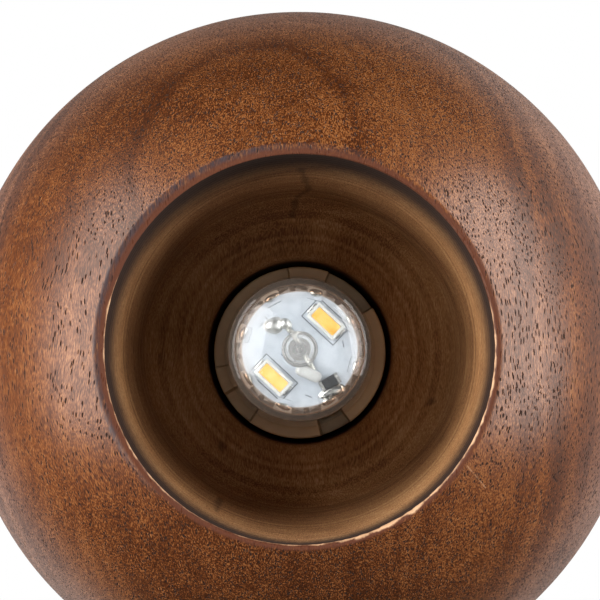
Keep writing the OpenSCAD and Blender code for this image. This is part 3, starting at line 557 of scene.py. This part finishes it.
socket_low, socket_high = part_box("screw_shell")
socket = mesh_piece("socket_shell_rolled", [threaded_surface(
    socket_high.x - 0.25 * MM, socket_high.x, socket_low.z, socket_high.z, False)], closed_rows=True)
socket.data.materials.append(pressed_brass)
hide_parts("screw_shell")
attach(socket, "fixture")


# Bulb cap
# A nickel-plated brass cap with a rolled thread, closed by black glass with a solder contact at its middle.
# The thread screws into the lampholder's shell, and the contact touches the one at its end.

# Nickel: bright grey with soft clouds. Cap glass: black and glossy. Solder: tin, bright where it set smooth.
bright_nickel = mottled("nickel_plated_brass", "#B9BBBB", "#D0D1CF", 3, (0.16, 0.3), 0.003, metallic=1.0)
black_glass = mottled("black_cap_glass", "#141211", "#231F1D", 1.5, (0.08, 0.2), 0.01)
solder = mottled("tin_solder", "#BDBBB5", "#DEDCD6", 0.5, (0.12, 0.3), 0.03, metallic=1.0)
cap_low, cap_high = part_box("cap_shell")
cap_r = cap_high.x
cap = mesh_piece("cap_shell_rolled", [threaded_surface(
    cap_r, cap_r - thread_depth - 0.35 * MM, cap_low.z, cap_high.z, True)], closed_rows=True)
cap.data.materials.append(bright_nickel)
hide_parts("cap_shell")
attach(cap, "bulb")
dress(black_glass, "cap_insulator")
dress(solder, "cap_tip")


# Bulb base and driver
# A moulded white plastic base flares from the cap to the cover's rim. It holds a small driver board with a
# smoothing capacitor and a bridge rectifier, closed by a deck that carries the column of LED boards.

# White plastic: smooth from the mould. Solder mask: green lacquer. Epoxy: black and fine-grained. Shrink
# sleeve: dark and shiny. Silicone: pale, soft and dull.
white_plastic = mottled("white_moulded_plastic", "#E4E3DD", "#F1F0EB", 2, (0.3, 0.42), 0.008)
green_board = mottled("green_solder_mask", "#1F5636", "#2F6E47", 1.2, (0.3, 0.45), 0.005)
black_epoxy = mottled("black_moulded_epoxy", "#0E0E0F", "#1A1A1C", 0.4, (0.4, 0.6), 0.01)
shrink_sleeve = mottled("capacitor_shrink_sleeve", "#1D1F24", "#2A2D33", 2, (0.2, 0.32), 0.004)
silicone_sleeve = mottled("silicone_lead_sleeve", "#B2B0AC", "#C6C4C0", 1.5, (0.45, 0.6), 0.01)
base_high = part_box("bulb_base")[1]
cover_low, cover_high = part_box("clear_cover")
rim_z, rim_r = cover_high.z, cover_high.x
neck_r = cap_r + 0.45 * MM
plug_r = cap_r - thread_depth - 0.45 * MM
neck_bore_r = 4.5 * MM
deck_low, deck_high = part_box("base_deck")
deck_seat_r, deck_lip_r = deck_high.x + 0.1 * MM, deck_high.x - 1 * MM
spigot_r = deck_high.x + 1.5 * MM
flare_top = rim_z + 4 * MM
rise = np.linspace(0, 1, 40)
flare = np.stack([neck_r + (rim_r - neck_r) * (1 - np.cos(math.pi * rise)) / 2,
                  cap_low.z + (flare_top - cap_low.z) * rise], 1)
base_outline = np.concatenate([
    rounded([(neck_bore_r, base_high.z, 0.2 * MM, 1 * MM), (plug_r, base_high.z, 0.3 * MM, 1 * MM),
             (plug_r, cap_low.z, 0, 1 * MM)], closed=False),
    flare,
    rounded([(rim_r, flare_top, 0, 0.6 * MM), (rim_r, rim_z, 0.25 * MM, 0.6 * MM),
             (spigot_r, rim_z, 0.1 * MM, 1 * MM), (spigot_r, deck_low.z, 0.2 * MM, 1 * MM),
             (deck_seat_r, deck_low.z, 0.05 * MM, 1 * MM), (deck_seat_r, deck_high.z, 0, 1 * MM),
             (deck_lip_r, deck_high.z, 0, 1 * MM), (deck_lip_r, flare_top, 0, 1 * MM),
             (neck_bore_r, holder_z, 0, 2 * MM)], closed=False)])
base = mesh_piece("bulb_base_moulded", [revolved(base_outline, 160)], closed_rows=True)
base.data.materials.append(white_plastic)
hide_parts("bulb_base")
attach(base, "bulb")
dress(white_plastic, "base_deck")
dress(green_board, "driver_board")
dress(black_epoxy, "bridge_rectifier")
dress(shrink_sleeve, "smoothing_capacitor")
dress(silicone_sleeve, "supply_leads")


# LED column
# Upright boards with white solder mask stand round the deck, two LEDs on each, and lock with a tab into the
# round board. An LED is a white moulded frame with a window of yellow phosphor in silicone, and tinned ends.

# White mask: cool and half glossy. LED frame: white and smooth. Phosphor: deep yellow, and it glows a little
# in daylight, which a weak emission stands for.
white_mask = mottled("white_solder_mask", "#ADB2B9", "#BEC3C8", 1.6, (0.28, 0.4), 0.006)
led_frame = mottled("white_led_frame", "#C4C4C0", "#D4D3CE", 0.8, (0.3, 0.45), 0.006)
phosphor = mottled("phosphor_silicone", "#E09A18", "#EDC878", 2.2, (0.35, 0.5), 0.01)
fluoresce = phosphor.node_tree.nodes["Principled BSDF"]
fluoresce.inputs["Emission Color"].default_value = linear("#FFB838")
fluoresce.inputs["Emission Strength"].default_value = 0.12
dress(white_mask, "side_boards", "top_board")
led_len, led_w, led_h = 5.7 * MM, 3 * MM, 0.9 * MM
led_rim = 0.4 * MM
window_depth = 0.22 * MM


def ringed(half_x, half_y, corner_r, profile, per_corner=6):
    """Grid of a profile (inset, height) carried round a rectangle with round corners. Each inset draws the
    rectangle and its corner radius in, and an inset of the smaller half closes it to a line."""
    inset, height = profile[:, :1], profile[:, 1:]
    quarter = np.linspace(0, math.pi / 2, per_corner)
    turn = np.concatenate([quarter + k * math.pi / 2 for k in range(4)])
    signs = np.repeat([[1, 1], [-1, 1], [-1, -1], [1, -1]], per_corner, axis=0)
    r = np.clip(corner_r - inset, 0, None)
    x = signs[:, 0] * (np.maximum(half_x - inset, 0) - r) + r * np.cos(turn)
    y = signs[:, 1] * (np.maximum(half_y - inset, 0) - r) + r * np.sin(turn)
    return np.stack([x, y, height + 0 * turn], -1)


led_package = ringed(led_len / 2, led_w / 2, 0.18 * MM, np.array([
    (led_w / 2, 0), (0.06 * MM, 0), (0, 0.06 * MM), (0, led_h - 0.08 * MM), (0.08 * MM, led_h),
    (led_rim, led_h), (led_rim + 0.14 * MM, led_h - window_depth), (led_w / 2, led_h - window_depth)]))
window_x, window_y = led_len / 2 - led_rim - 0.12 * MM, led_w / 2 - led_rim - 0.12 * MM
led_window = ringed(window_x, window_y, 0.25 * MM, np.array([
    (window_y, led_h - window_depth), (0, led_h - window_depth), (0, led_h - 0.1 * MM),
    (0.15 * MM, led_h - 0.06 * MM), (0.5 * MM, led_h - 0.05 * MM), (window_y, led_h - 0.045 * MM)]))
board_low, board_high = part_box("top_board")
board_r = board_high.x
board_z = board_low.z
side_out = board_r - 0.05 * MM
side_count = 8
side_turn_deg = 16
side_turns = [math.radians(side_turn_deg - 90 + k * 360 / side_count) for k in range(side_count)]
side_run = deck_low.z - board_high.z
side_led_z = [deck_low.z - side_run * share for share in (0.28, 0.72)]


def on_sides(grid):
    """Copies of a grid on the outer face of each side board: its x goes down the board, its z outwards."""
    up = np.array([0, 0, 1])
    copies = []
    for turn in side_turns:
        out = np.array([math.cos(turn), math.sin(turn), 0])
        beside = np.array([-math.sin(turn), math.cos(turn), 0])
        for z in side_led_z:
            copies.append(grid @ np.stack([-up, beside, out]) + out * side_out + up * z)
    return copies


def on_board(grid, x, y, turn_deg):
    """Grid laid on the face of the round board, which looks down: turned about Z and tipped over X."""
    turn = math.radians(turn_deg)
    spin = np.array([[math.cos(turn), math.sin(turn), 0], [math.sin(turn), -math.cos(turn), 0], [0, 0, -1]])
    return grid @ spin + np.array([x, y, board_z])


led_ring_r = 6.1 * MM
led_turn_deg = -47
led_spots = [(led_ring_r * math.cos(math.radians(led_turn_deg + k)),
              led_ring_r * math.sin(math.radians(led_turn_deg + k)), led_turn_deg + k + 90) for k in (0, 180)]
for name, grid, material, slot in (("led_packages", led_package, led_frame, "led_frame"),
                                   ("led_phosphors", led_window, phosphor, "led_phosphor")):
    for group, grids in (("side_", on_sides(grid)), ("top_", [on_board(grid, *spot) for spot in led_spots])):
        piece = mesh_piece(group + name + "_moulded", grids)
        piece.data.materials.append(material)
        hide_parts(group + name)
        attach(piece, "bulb")

# Tinned ends of the two LEDs on the round board, which wrap up its short sides
end_pad = ringed(0.22 * MM, 0.95 * MM, 0.08 * MM, np.array([
    (0.22 * MM, 0), (0, 0), (0, 0.3 * MM), (0.08 * MM, 0.36 * MM), (0.22 * MM, 0.37 * MM)]))
end_shift = led_len / 2 + 0.15 * MM
led_ends = mesh_piece("top_led_ends", [
    on_board(end_pad + np.array([side * end_shift, 0, 0]), *spot) for spot in led_spots for side in (-1, 1)])
led_ends.data.materials.append(solder)
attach(led_ends, "bulb")


# Print on the round board
# Thin dark ink lines frame the two LEDs, with a few short ticks between, as a screen prints them on the mask.
# The ink is a thin raised film, dull and not quite black.
ink = mottled("board_ink", "#2A2D31", "#3E4247", 0.3, (0.5, 0.65), 0.004)
ink_w, ink_t = 0.13 * MM, 0.025 * MM
led_box_x, led_box_y = led_len / 2 + 0.62 * MM, led_w / 2 + 0.55 * MM
box_line = ringed(led_box_x, led_box_y, 0.1 * MM, np.array([
    (0, 0), (0, ink_t), (ink_w, ink_t), (ink_w, 0)]), per_corner=3)
tick = ringed(0.55 * MM, ink_w / 2, 0.02 * MM, np.array([
    (ink_w / 2, 0), (0, 0), (0, ink_t), (ink_w / 2, ink_t)]), per_corner=2)
# Each tick: X and Y in mm and turn in degrees
tick_spots = [(-5.2, -4.9, 44), (-6.0, -4.0, -46), (-1.0, 2.2, 44), (-2.6, 1.1, 44), (6.9, -0.9, 80),
              (1.4, 7.4, 20)]
board_print = mesh_piece("board_print", [on_board(box_line, *spot) for spot in led_spots], closed_rows=True)
board_ticks = mesh_piece("board_ticks", [on_board(tick, x * MM, y * MM, deg) for x, y, deg in tick_spots])
for piece in (board_print, board_ticks):
    piece.data.materials.append(ink)
    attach(piece, "bulb")


# Leads of the column
# Two tinned wires come down through the board's middle, bend over and lie on the board: one to its solder,
# the other in a short white silicone sleeve to the resistor.

# Tinned copper: grey and satin, drawn through a die
tinned_wire = mottled("tinned_copper_wire", "#A3A19A", "#C7C4BB", 0.4, (0.25, 0.4), 0.01, metallic=1.0)
wire_r, wire_bend = 0.45 * MM, 1 * MM


def lead_surface(start, stop, radius, bend, sides=20):
    """Grid of a round wire: a circle carried along a path that comes down the column, bends by an arc and
    runs level to its end. The path lies in one upright plane, so the circle's two axes are that plane's
    normal and the tangent crossed with it. The first end is flat and the second round."""
    run = np.array(stop) - np.array(start)
    length = np.linalg.norm(run)
    level = np.array([*(run / length), 0])
    lie_z = board_z - radius - 0.05 * MM
    path = rounded([(0, deck_low.z - 1 * MM, 0, 1.5 * MM), (0, lie_z, bend, 0.12 * MM),
                    (length, lie_z, 0, 1)], closed=False)
    rest = np.cumsum(np.linalg.norm(np.diff(path[::-1], axis=0), axis=1))[::-1]
    rest = np.concatenate([rest[:1], rest, [0]])
    path = np.concatenate([path[:1], path])
    middle = np.array([*start, 0]) + path[:, :1] * level + path[:, 1:] * np.array([0, 0, 1])
    slope = np.gradient(path[1:], axis=0)
    slope = np.concatenate([slope[:1], slope])
    slope /= np.linalg.norm(slope, axis=1)[:, None]
    tangent = slope[:, :1] * level + slope[:, 1:] * np.array([0, 0, 1])
    beside = np.cross(level, [0, 0, 1])
    other = np.cross(tangent, beside)
    size = radius * np.sqrt(1 - np.clip(1 - rest / radius, 0, 1) ** 2)
    size[0] = 0
    turn = np.linspace(0, 2 * math.pi, sides, endpoint=False)[:, None]
    circle = np.cos(turn) * beside + np.sin(turn) * other[:, None]
    return middle[:, None] + size[:, None, None] * circle


bare_lead = mesh_piece("bare_lead", [
    lead_surface((0, -1.2 * MM), (-1.95 * MM, -3.45 * MM), wire_r, wire_bend)])
bare_lead.data.materials.append(tinned_wire)
inner_lead = mesh_piece("inner_lead", [
    lead_surface((1.1 * MM, 1.2 * MM), (2.6 * MM, 4.2 * MM), wire_r, wire_bend)])
inner_lead.data.materials.append(tinned_wire)
sleeve_r, sleeve_half = 0.93 * MM, 2.2 * MM
girth = np.linspace(0, math.pi, 16)
sleeve_round = np.stack([sleeve_r * (1 - np.sin(girth)), sleeve_r * (1 - np.cos(girth))], 1)
sleeve = mesh_piece("lead_sleeve", [
    on_board(ringed(sleeve_half, sleeve_r, sleeve_r, sleeve_round, per_corner=10), 1.4 * MM, 3.8 * MM, 24)])
sleeve.data.materials.append(silicone_sleeve)
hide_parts("column_leads")
for piece in (bare_lead, inner_lead, sleeve):
    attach(piece, "bulb")


# Solder
# Tin beads, melted on with an iron: a two-lobed one over the bare wire's end, a small one over every tab at
# the board's edge, and one beside the resistor.
def bead(r, height, seed, rows=14, columns=28):
    """Grid of a solder bead: a dome of radius r, height tall, that flares at its foot, with its radius varied
    round the axis by two seeded waves."""
    draws = np.random.default_rng(seed)
    rise = np.linspace(0, math.pi / 2, rows)
    out, up = np.cos(rise), np.sin(rise)
    out = out + 0.16 * np.exp(-up * 9)
    turn = np.linspace(0, 2 * math.pi, columns, endpoint=False)
    wave = 1 + 0.09 * np.cos(2 * turn + draws.uniform(0, 6)) + 0.06 * np.cos(3 * turn + draws.uniform(0, 6))
    ring = out[:, None] * wave * r
    dome = np.stack([ring * np.cos(turn), ring * np.sin(turn), up[:, None] * height + 0 * turn], -1)
    return np.concatenate([dome[:1] * np.array([0, 0, 1]), dome])


# The big joint cooled slowly, so its tin is paler and duller than that of the small beads
dull_solder = mottled("dull_tin_solder", "#D2D0CA", "#E8E6E0", 0.6, (0.3, 0.42), 0.006, metallic=1.0)
# Each lobe: X, Y, radius and height in mm
lobes = [(-2.3, -4.05, 0.85, 0.7), (-4.1, -3.8, 1.25, 0.85)]
lead_solder = mesh_piece("lead_solder_beads", [
    on_board(bead(r * MM, h * MM, k + 3), x * MM, y * MM, 0) for k, (x, y, r, h) in enumerate(lobes)])
tab_beads = []
for k, turn in enumerate(side_turns):
    shape = bead(0.62 * MM, 0.6 * MM, k + 11) * np.array([0.8, 1.7, 1])
    tab_beads.append(on_board(shape, board_r * math.cos(turn), board_r * math.sin(turn), math.degrees(turn)))
shape = bead(0.95 * MM, 0.5 * MM, 29) * np.array([1.9, 1.0, 1])
tab_beads.append(on_board(shape, 5.15 * MM, 6.7 * MM, -25))
tab_solder = mesh_piece("tab_solder_beads", tab_beads)
for piece, name, material in ((lead_solder, "lead_solder", dull_solder), (tab_solder, "tab_solder", solder)):
    piece.data.materials.append(material)
    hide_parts(name)
    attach(piece, "bulb")


# Chip resistor
# A ceramic chip with a black epoxy top and tinned ends, soldered askew beside the board's lower right edge.
# It sets the current of the LEDs.
chip_x, chip_y, chip_h = 3.2 * MM, 1.6 * MM, 0.55 * MM
chip_end, chip_edge, tin_t = 0.5 * MM, 0.06 * MM, 0.02 * MM
chip_spot = (4.75 * MM, 5.15 * MM, -30)
half_y = chip_y / 2
chip_box = np.array([(half_y, 0), (0, 0), (0, chip_h - chip_edge), (chip_edge, chip_h), (half_y, chip_h)])
chip = mesh_piece("chip_resistor_body", [on_board(
    ringed(chip_x / 2 - chip_end, half_y, 0.04 * MM, chip_box, per_corner=3), *chip_spot)])
chip.data.materials.append(black_epoxy)
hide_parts("chip_resistor")
end_box = np.array([(chip_end / 2, 0), (-0.12 * MM, 0), (0, chip_h - chip_edge), (chip_edge, chip_h + tin_t),
                    (chip_end / 2, chip_h + tin_t)])
end_grid = ringed(chip_end / 2, half_y, 0.08 * MM, end_box, per_corner=4)
end_at = chip_x / 2 - chip_end / 2
chip_ends = mesh_piece("chip_resistor_ends", [
    on_board(end_grid + np.array([side * end_at, 0, 0]), *chip_spot) for side in (-1, 1)])
chip_ends.data.materials.append(solder)
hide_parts("resistor_ends")
for piece in (chip, chip_ends):
    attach(piece, "bulb")


# Clear cover
# A cup of clear polycarbonate, moulded in one piece with a domed end. The gate at its middle left a small nub
# inside a raised ring. Its foot fits over the base's spigot.
cover_t = 1.2 * MM
tip_z = cover_low.z
tip_r = rim_r - 1.2 * MM
dome_r = 20 * MM
shoulder_r, shoulder_w = 1.6 * MM, 2.6 * MM
gate_r = 2.85 * MM
# The gate's outline: distance from the axis and height over the dome, in mm
gate = np.array([(0, 0.2), (0.2, 0.19), (0.4, 0.08), (0.7, 0.04), (1.2, 0.05), (1.7, 0.12), (2.1, 0.22),
                 (2.35, 0.25), (2.6, 0.2), (2.8, 0.07), (2.9, 0.0)]) * MM


def cover_wall(inset):
    """Profile (r, z) of one side of the cover, from the foot to the axis: a tapered wall, a round shoulder
    and the dome z = R - sqrt(R^2 - r^2), each drawn in by inset. A sixth power of r bends the dome's edge to
    the shoulder, and the outer side carries the gate."""
    bowl = dome_r - inset
    bend_r = max(shoulder_r - inset * 0.6, 0.4 * MM)
    meet = tip_r - inset - 0.2 * MM
    meet_z = tip_z + dome_r - math.sqrt(bowl ** 2 - meet ** 2)
    lead_out_z = tip_z + inset + (meet_z - tip_z - inset) * -0.15
    wall = rounded([(rim_r - inset, rim_z, 0, 0.6 * MM), (meet, meet_z, bend_r, 1), (0.0, lead_out_z, 0, 1)],
                   closed=False)[:-1]
    r = np.concatenate([np.linspace(wall[-1, 0], 3.2 * MM, 40)[1:], np.linspace(3.1 * MM, 0, 48)])
    z = tip_z + dome_r - np.sqrt(bowl ** 2 - r ** 2)
    lift = np.interp(r, *gate.T) if inset == 0 else 0 * r
    drop = wall[-1, 1] - (tip_z + dome_r - math.sqrt(bowl ** 2 - wall[-1, 0] ** 2))
    z = z + drop * (r / wall[-1, 0]) ** 6 - lift
    return np.concatenate([wall, np.stack([r, z], 1)])


outer, inner = cover_wall(0.0), cover_wall(cover_t)
cover = mesh_piece("clear_cover_moulded", [revolved(np.concatenate([inner[::-1], outer]), 192)])


def clear_plastic(name, tint, clearness, roughness):
    """Clear plastic whose gloss wanders a little over the mould's polish. The share of light that its haze
    scatters is 1 - clearness, and lamps shine through it."""
    made = bpy.data.materials.new(name)
    made.use_nodes = True
    tree = made.node_tree
    tree.nodes.clear()
    coords = node(tree, "TexCoord", out="Object")
    polish = node(tree, "TexNoise", {"Vector": coords, "Scale": 1 / (2.5 * MM), "Detail": 3}, "Fac")
    gloss = node(tree, "MapRange", {"Value": polish, "To Min": roughness[0], "To Max": roughness[1]})
    body = node(tree, "BsdfPrincipled", {"Base Color": linear(tint), "Roughness": gloss, "IOR": 1.5,
                                         "Transmission Weight": clearness,
                                         "Specular Tint": linear("#B4B4B4")})
    through = node(tree, "BsdfTransparent", {"Color": linear("#EEF1F2")})
    lamp_ray = node(tree, "LightPath", out="Is Shadow Ray")
    seen = node(tree, "MixShader", {0: lamp_ray, 1: body, 2: through})
    node(tree, "OutputMaterial", {"Surface": seen}, None)
    return made


# Clear polycarbonate: polished on the dome, with a warm haze in the thick shoulder and wall, and a little
# frosted at the gate
clear = clear_plastic("clear_polycarbonate", "#FAFBFC", 0.985, (0.07, 0.15))
hazy = clear_plastic("hazy_polycarbonate_wall", "#D9C6B7", 0.955, (0.02, 0.1))
frosted = clear_plastic("frosted_polycarbonate_gate", "#F0F0EF", 0.86, (0.06, 0.15))
for finish in (clear, hazy, frosted):
    cover.data.materials.append(finish)
face_middle = np.empty(len(cover.data.polygons) * 3)
cover.data.polygons.foreach_get("center", face_middle)
face_middle = face_middle.reshape(-1, 3)
face_r = np.hypot(face_middle[:, 0], face_middle[:, 1])
finish_no = np.where(face_r > tip_r - shoulder_w, 1, np.where(face_r < gate_r, 2, 0))
cover.data.polygons.foreach_set("material_index", finish_no.astype(np.int32))
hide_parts("clear_cover")
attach(cover, "bulb")


# Studio
# A small pale floor far below the hanging lamp, and a white backdrop above it. Two large soft boxes left and
# right of the lens light the ball, a small fill lifts the hollow, and a card gives the gloss its gleam.
floor_drop, floor_half = 1.75, 0.45
ground = bpy.data.meshes.new("floor")
floor_corners = [(x * floor_half, y * floor_half, -floor_drop)
                 for x, y in ((-1, -1), (1, -1), (1, 1), (-1, 1))]
ground.from_pydata(floor_corners, [], [(0, 1, 2, 3)])
floor = bpy.data.objects.new("floor", ground)
bpy.context.scene.collection.objects.link(floor)
# Painted boards: pale, matt and faintly clouded
ground.materials.append(mottled("pale_floor", "#DCDCDA", "#E6E6E4", 180, (0.6, 0.75)))

# The world is white to the lens. Gloss and glass see the backdrop, and all else sees the room's grey walls.
scene = bpy.context.scene
world = bpy.data.worlds.new("studio")
scene.world = world
world.use_nodes = True
tree = world.node_tree
tree.nodes.clear()
sight = node(tree, "TexCoord", out="Generated")
toward = node(tree, "SeparateXYZ", {0: sight}, None)
backdrop = node(tree, "MapRange", {"Value": toward[2], "From Min": 0.6, "From Max": 1.0, "To Min": 0.02,
                                   "To Max": 0.95}, interpolation_type="SMOOTHSTEP")
# White walls to the right and left behind the lamp, which the oiled wood mirrors near its outline
for way, start, share in (((0.65, -0.1, 0.75), 0.68, 0.75), ((-0.5, 0.25, 0.83), 0.82, 0.75)):
    facing = node(tree, "VectorMath", {0: sight, 1: way}, "Value", operation="DOT_PRODUCT")
    facing = node(tree, "MapRange", {"Value": facing, "From Min": start, "From Max": 0.99, "To Max": share},
                  interpolation_type="SMOOTHSTEP")
    backdrop = node(tree, "Math", {0: backdrop, 1: facing}, operation="ADD")
height = node(tree, "MapRange", {"Value": toward[2], "From Min": -1.0, "From Max": 1.0})
walls = node(tree, "ValToRGB", {"Fac": height}, stops=[
    (0.0, "#2C2C2C"), (0.1, "#2C2C2C"), (0.14, "#CCCCCC"), (0.26, "#C0C0C0"), (0.36, "#585858"),
    (0.5, "#1E1E1E"), (0.65, "#8A8A8A"), (0.8, "#C8C8C8")])
front = node(tree, "MapRange", {"Value": toward[1], "From Min": -0.8, "From Max": 0.8, "To Min": 0.26,
                                "To Max": 2.1})
walls = node(tree, "Math", {0: walls, 1: front}, operation="MULTIPLY")
rays = node(tree, "LightPath", out=None)
mirrored = node(tree, "Math", {0: rays["Is Glossy Ray"], 1: rays["Is Transmission Ray"]}, operation="MAXIMUM")
indirect = node(tree, "Mix", {0: mirrored, 2: walls, 3: backdrop}, data_type="FLOAT")
level = node(tree, "Mix", {0: rays["Is Camera Ray"], 2: indirect, 3: 1.0}, data_type="FLOAT")
sky = node(tree, "Background", {"Color": linear("#FFFFFF"), "Strength": level})
node(tree, "OutputWorld", {"Surface": sky}, None)

# Each light: clock angle, degrees off the lens's axis, distance, width round the clock and height in metres,
# and power in watts
ball_middle = np.array([0, 0, ball_z])
for name, clock_deg, off_deg, reach, width, tall, watts in (
        ("softbox_left", 282, 61, 0.9, 1.15, 0.88, 21.0), ("softbox_right", 77, 72, 0.9, 1.15, 0.64, 16.8),
        ("gloss_card", 98, 27, 0.8, 0.36, 0.24, 0.6), ("fill", 225, 32, 0.9, 0.3, 0.3, 0.42)):
    turn, off = math.radians(clock_deg - 90), math.radians(off_deg)
    spot = ball_middle + reach * np.array([math.sin(off) * math.cos(turn), math.sin(off) * math.sin(turn),
                                           -math.cos(off)])
    lamp = bpy.data.lights.new(name, "AREA")
    lamp.shape = "RECTANGLE"
    lamp.size = width
    lamp.size_y = tall
    lamp.energy = watts
    stand = bpy.data.objects.new(name, lamp)
    stand.location = spot
    stand.rotation_euler = Vector(ball_middle - spot).to_track_quat("-Z", "Y").to_euler()
    stand.visible_camera = False
    stand.visible_diffuse = name != "gloss_card"
    stand.visible_glossy = name != "fill"
    scene.collection.objects.link(stand)

# The lens stands half a metre from the ball's middle, a little off its axis, and looks past it, so that the
# ball sits low in the picture
lens_reach = 0.5
tilt = math.radians(0.65)
image_px = 600
focus_px = 2823.7
ball_middle_px = (299.7, 352.5)
lens = bpy.data.cameras.new("lens")
lens.sensor_width = 36
lens.lens = focus_px * lens.sensor_width / image_px
lens.clip_start = 0.01
camera = bpy.data.objects.new("camera", lens)
eye = ball_middle + lens_reach * np.array([0, math.sin(tilt), -math.cos(tilt)])
ahead = (ball_middle - eye) / lens_reach
image_down = np.cross(ahead, [1, 0, 0])
shift_px = (np.array(ball_middle_px) - image_px / 2) / focus_px
aim = ahead - shift_px[0] * np.array([1, 0, 0]) - shift_px[1] * image_down
aim /= np.linalg.norm(aim)
right = np.cross(image_down, aim)
right /= np.linalg.norm(right)
up = np.cross(right, aim)
stance = np.eye(4)
stance[:3] = np.stack([right, up, -aim, eye], 1)
camera.matrix_world = Matrix(stance.tolist())
scene.collection.objects.link(camera)
scene.camera = camera
scene.view_settings.view_transform = "Standard"
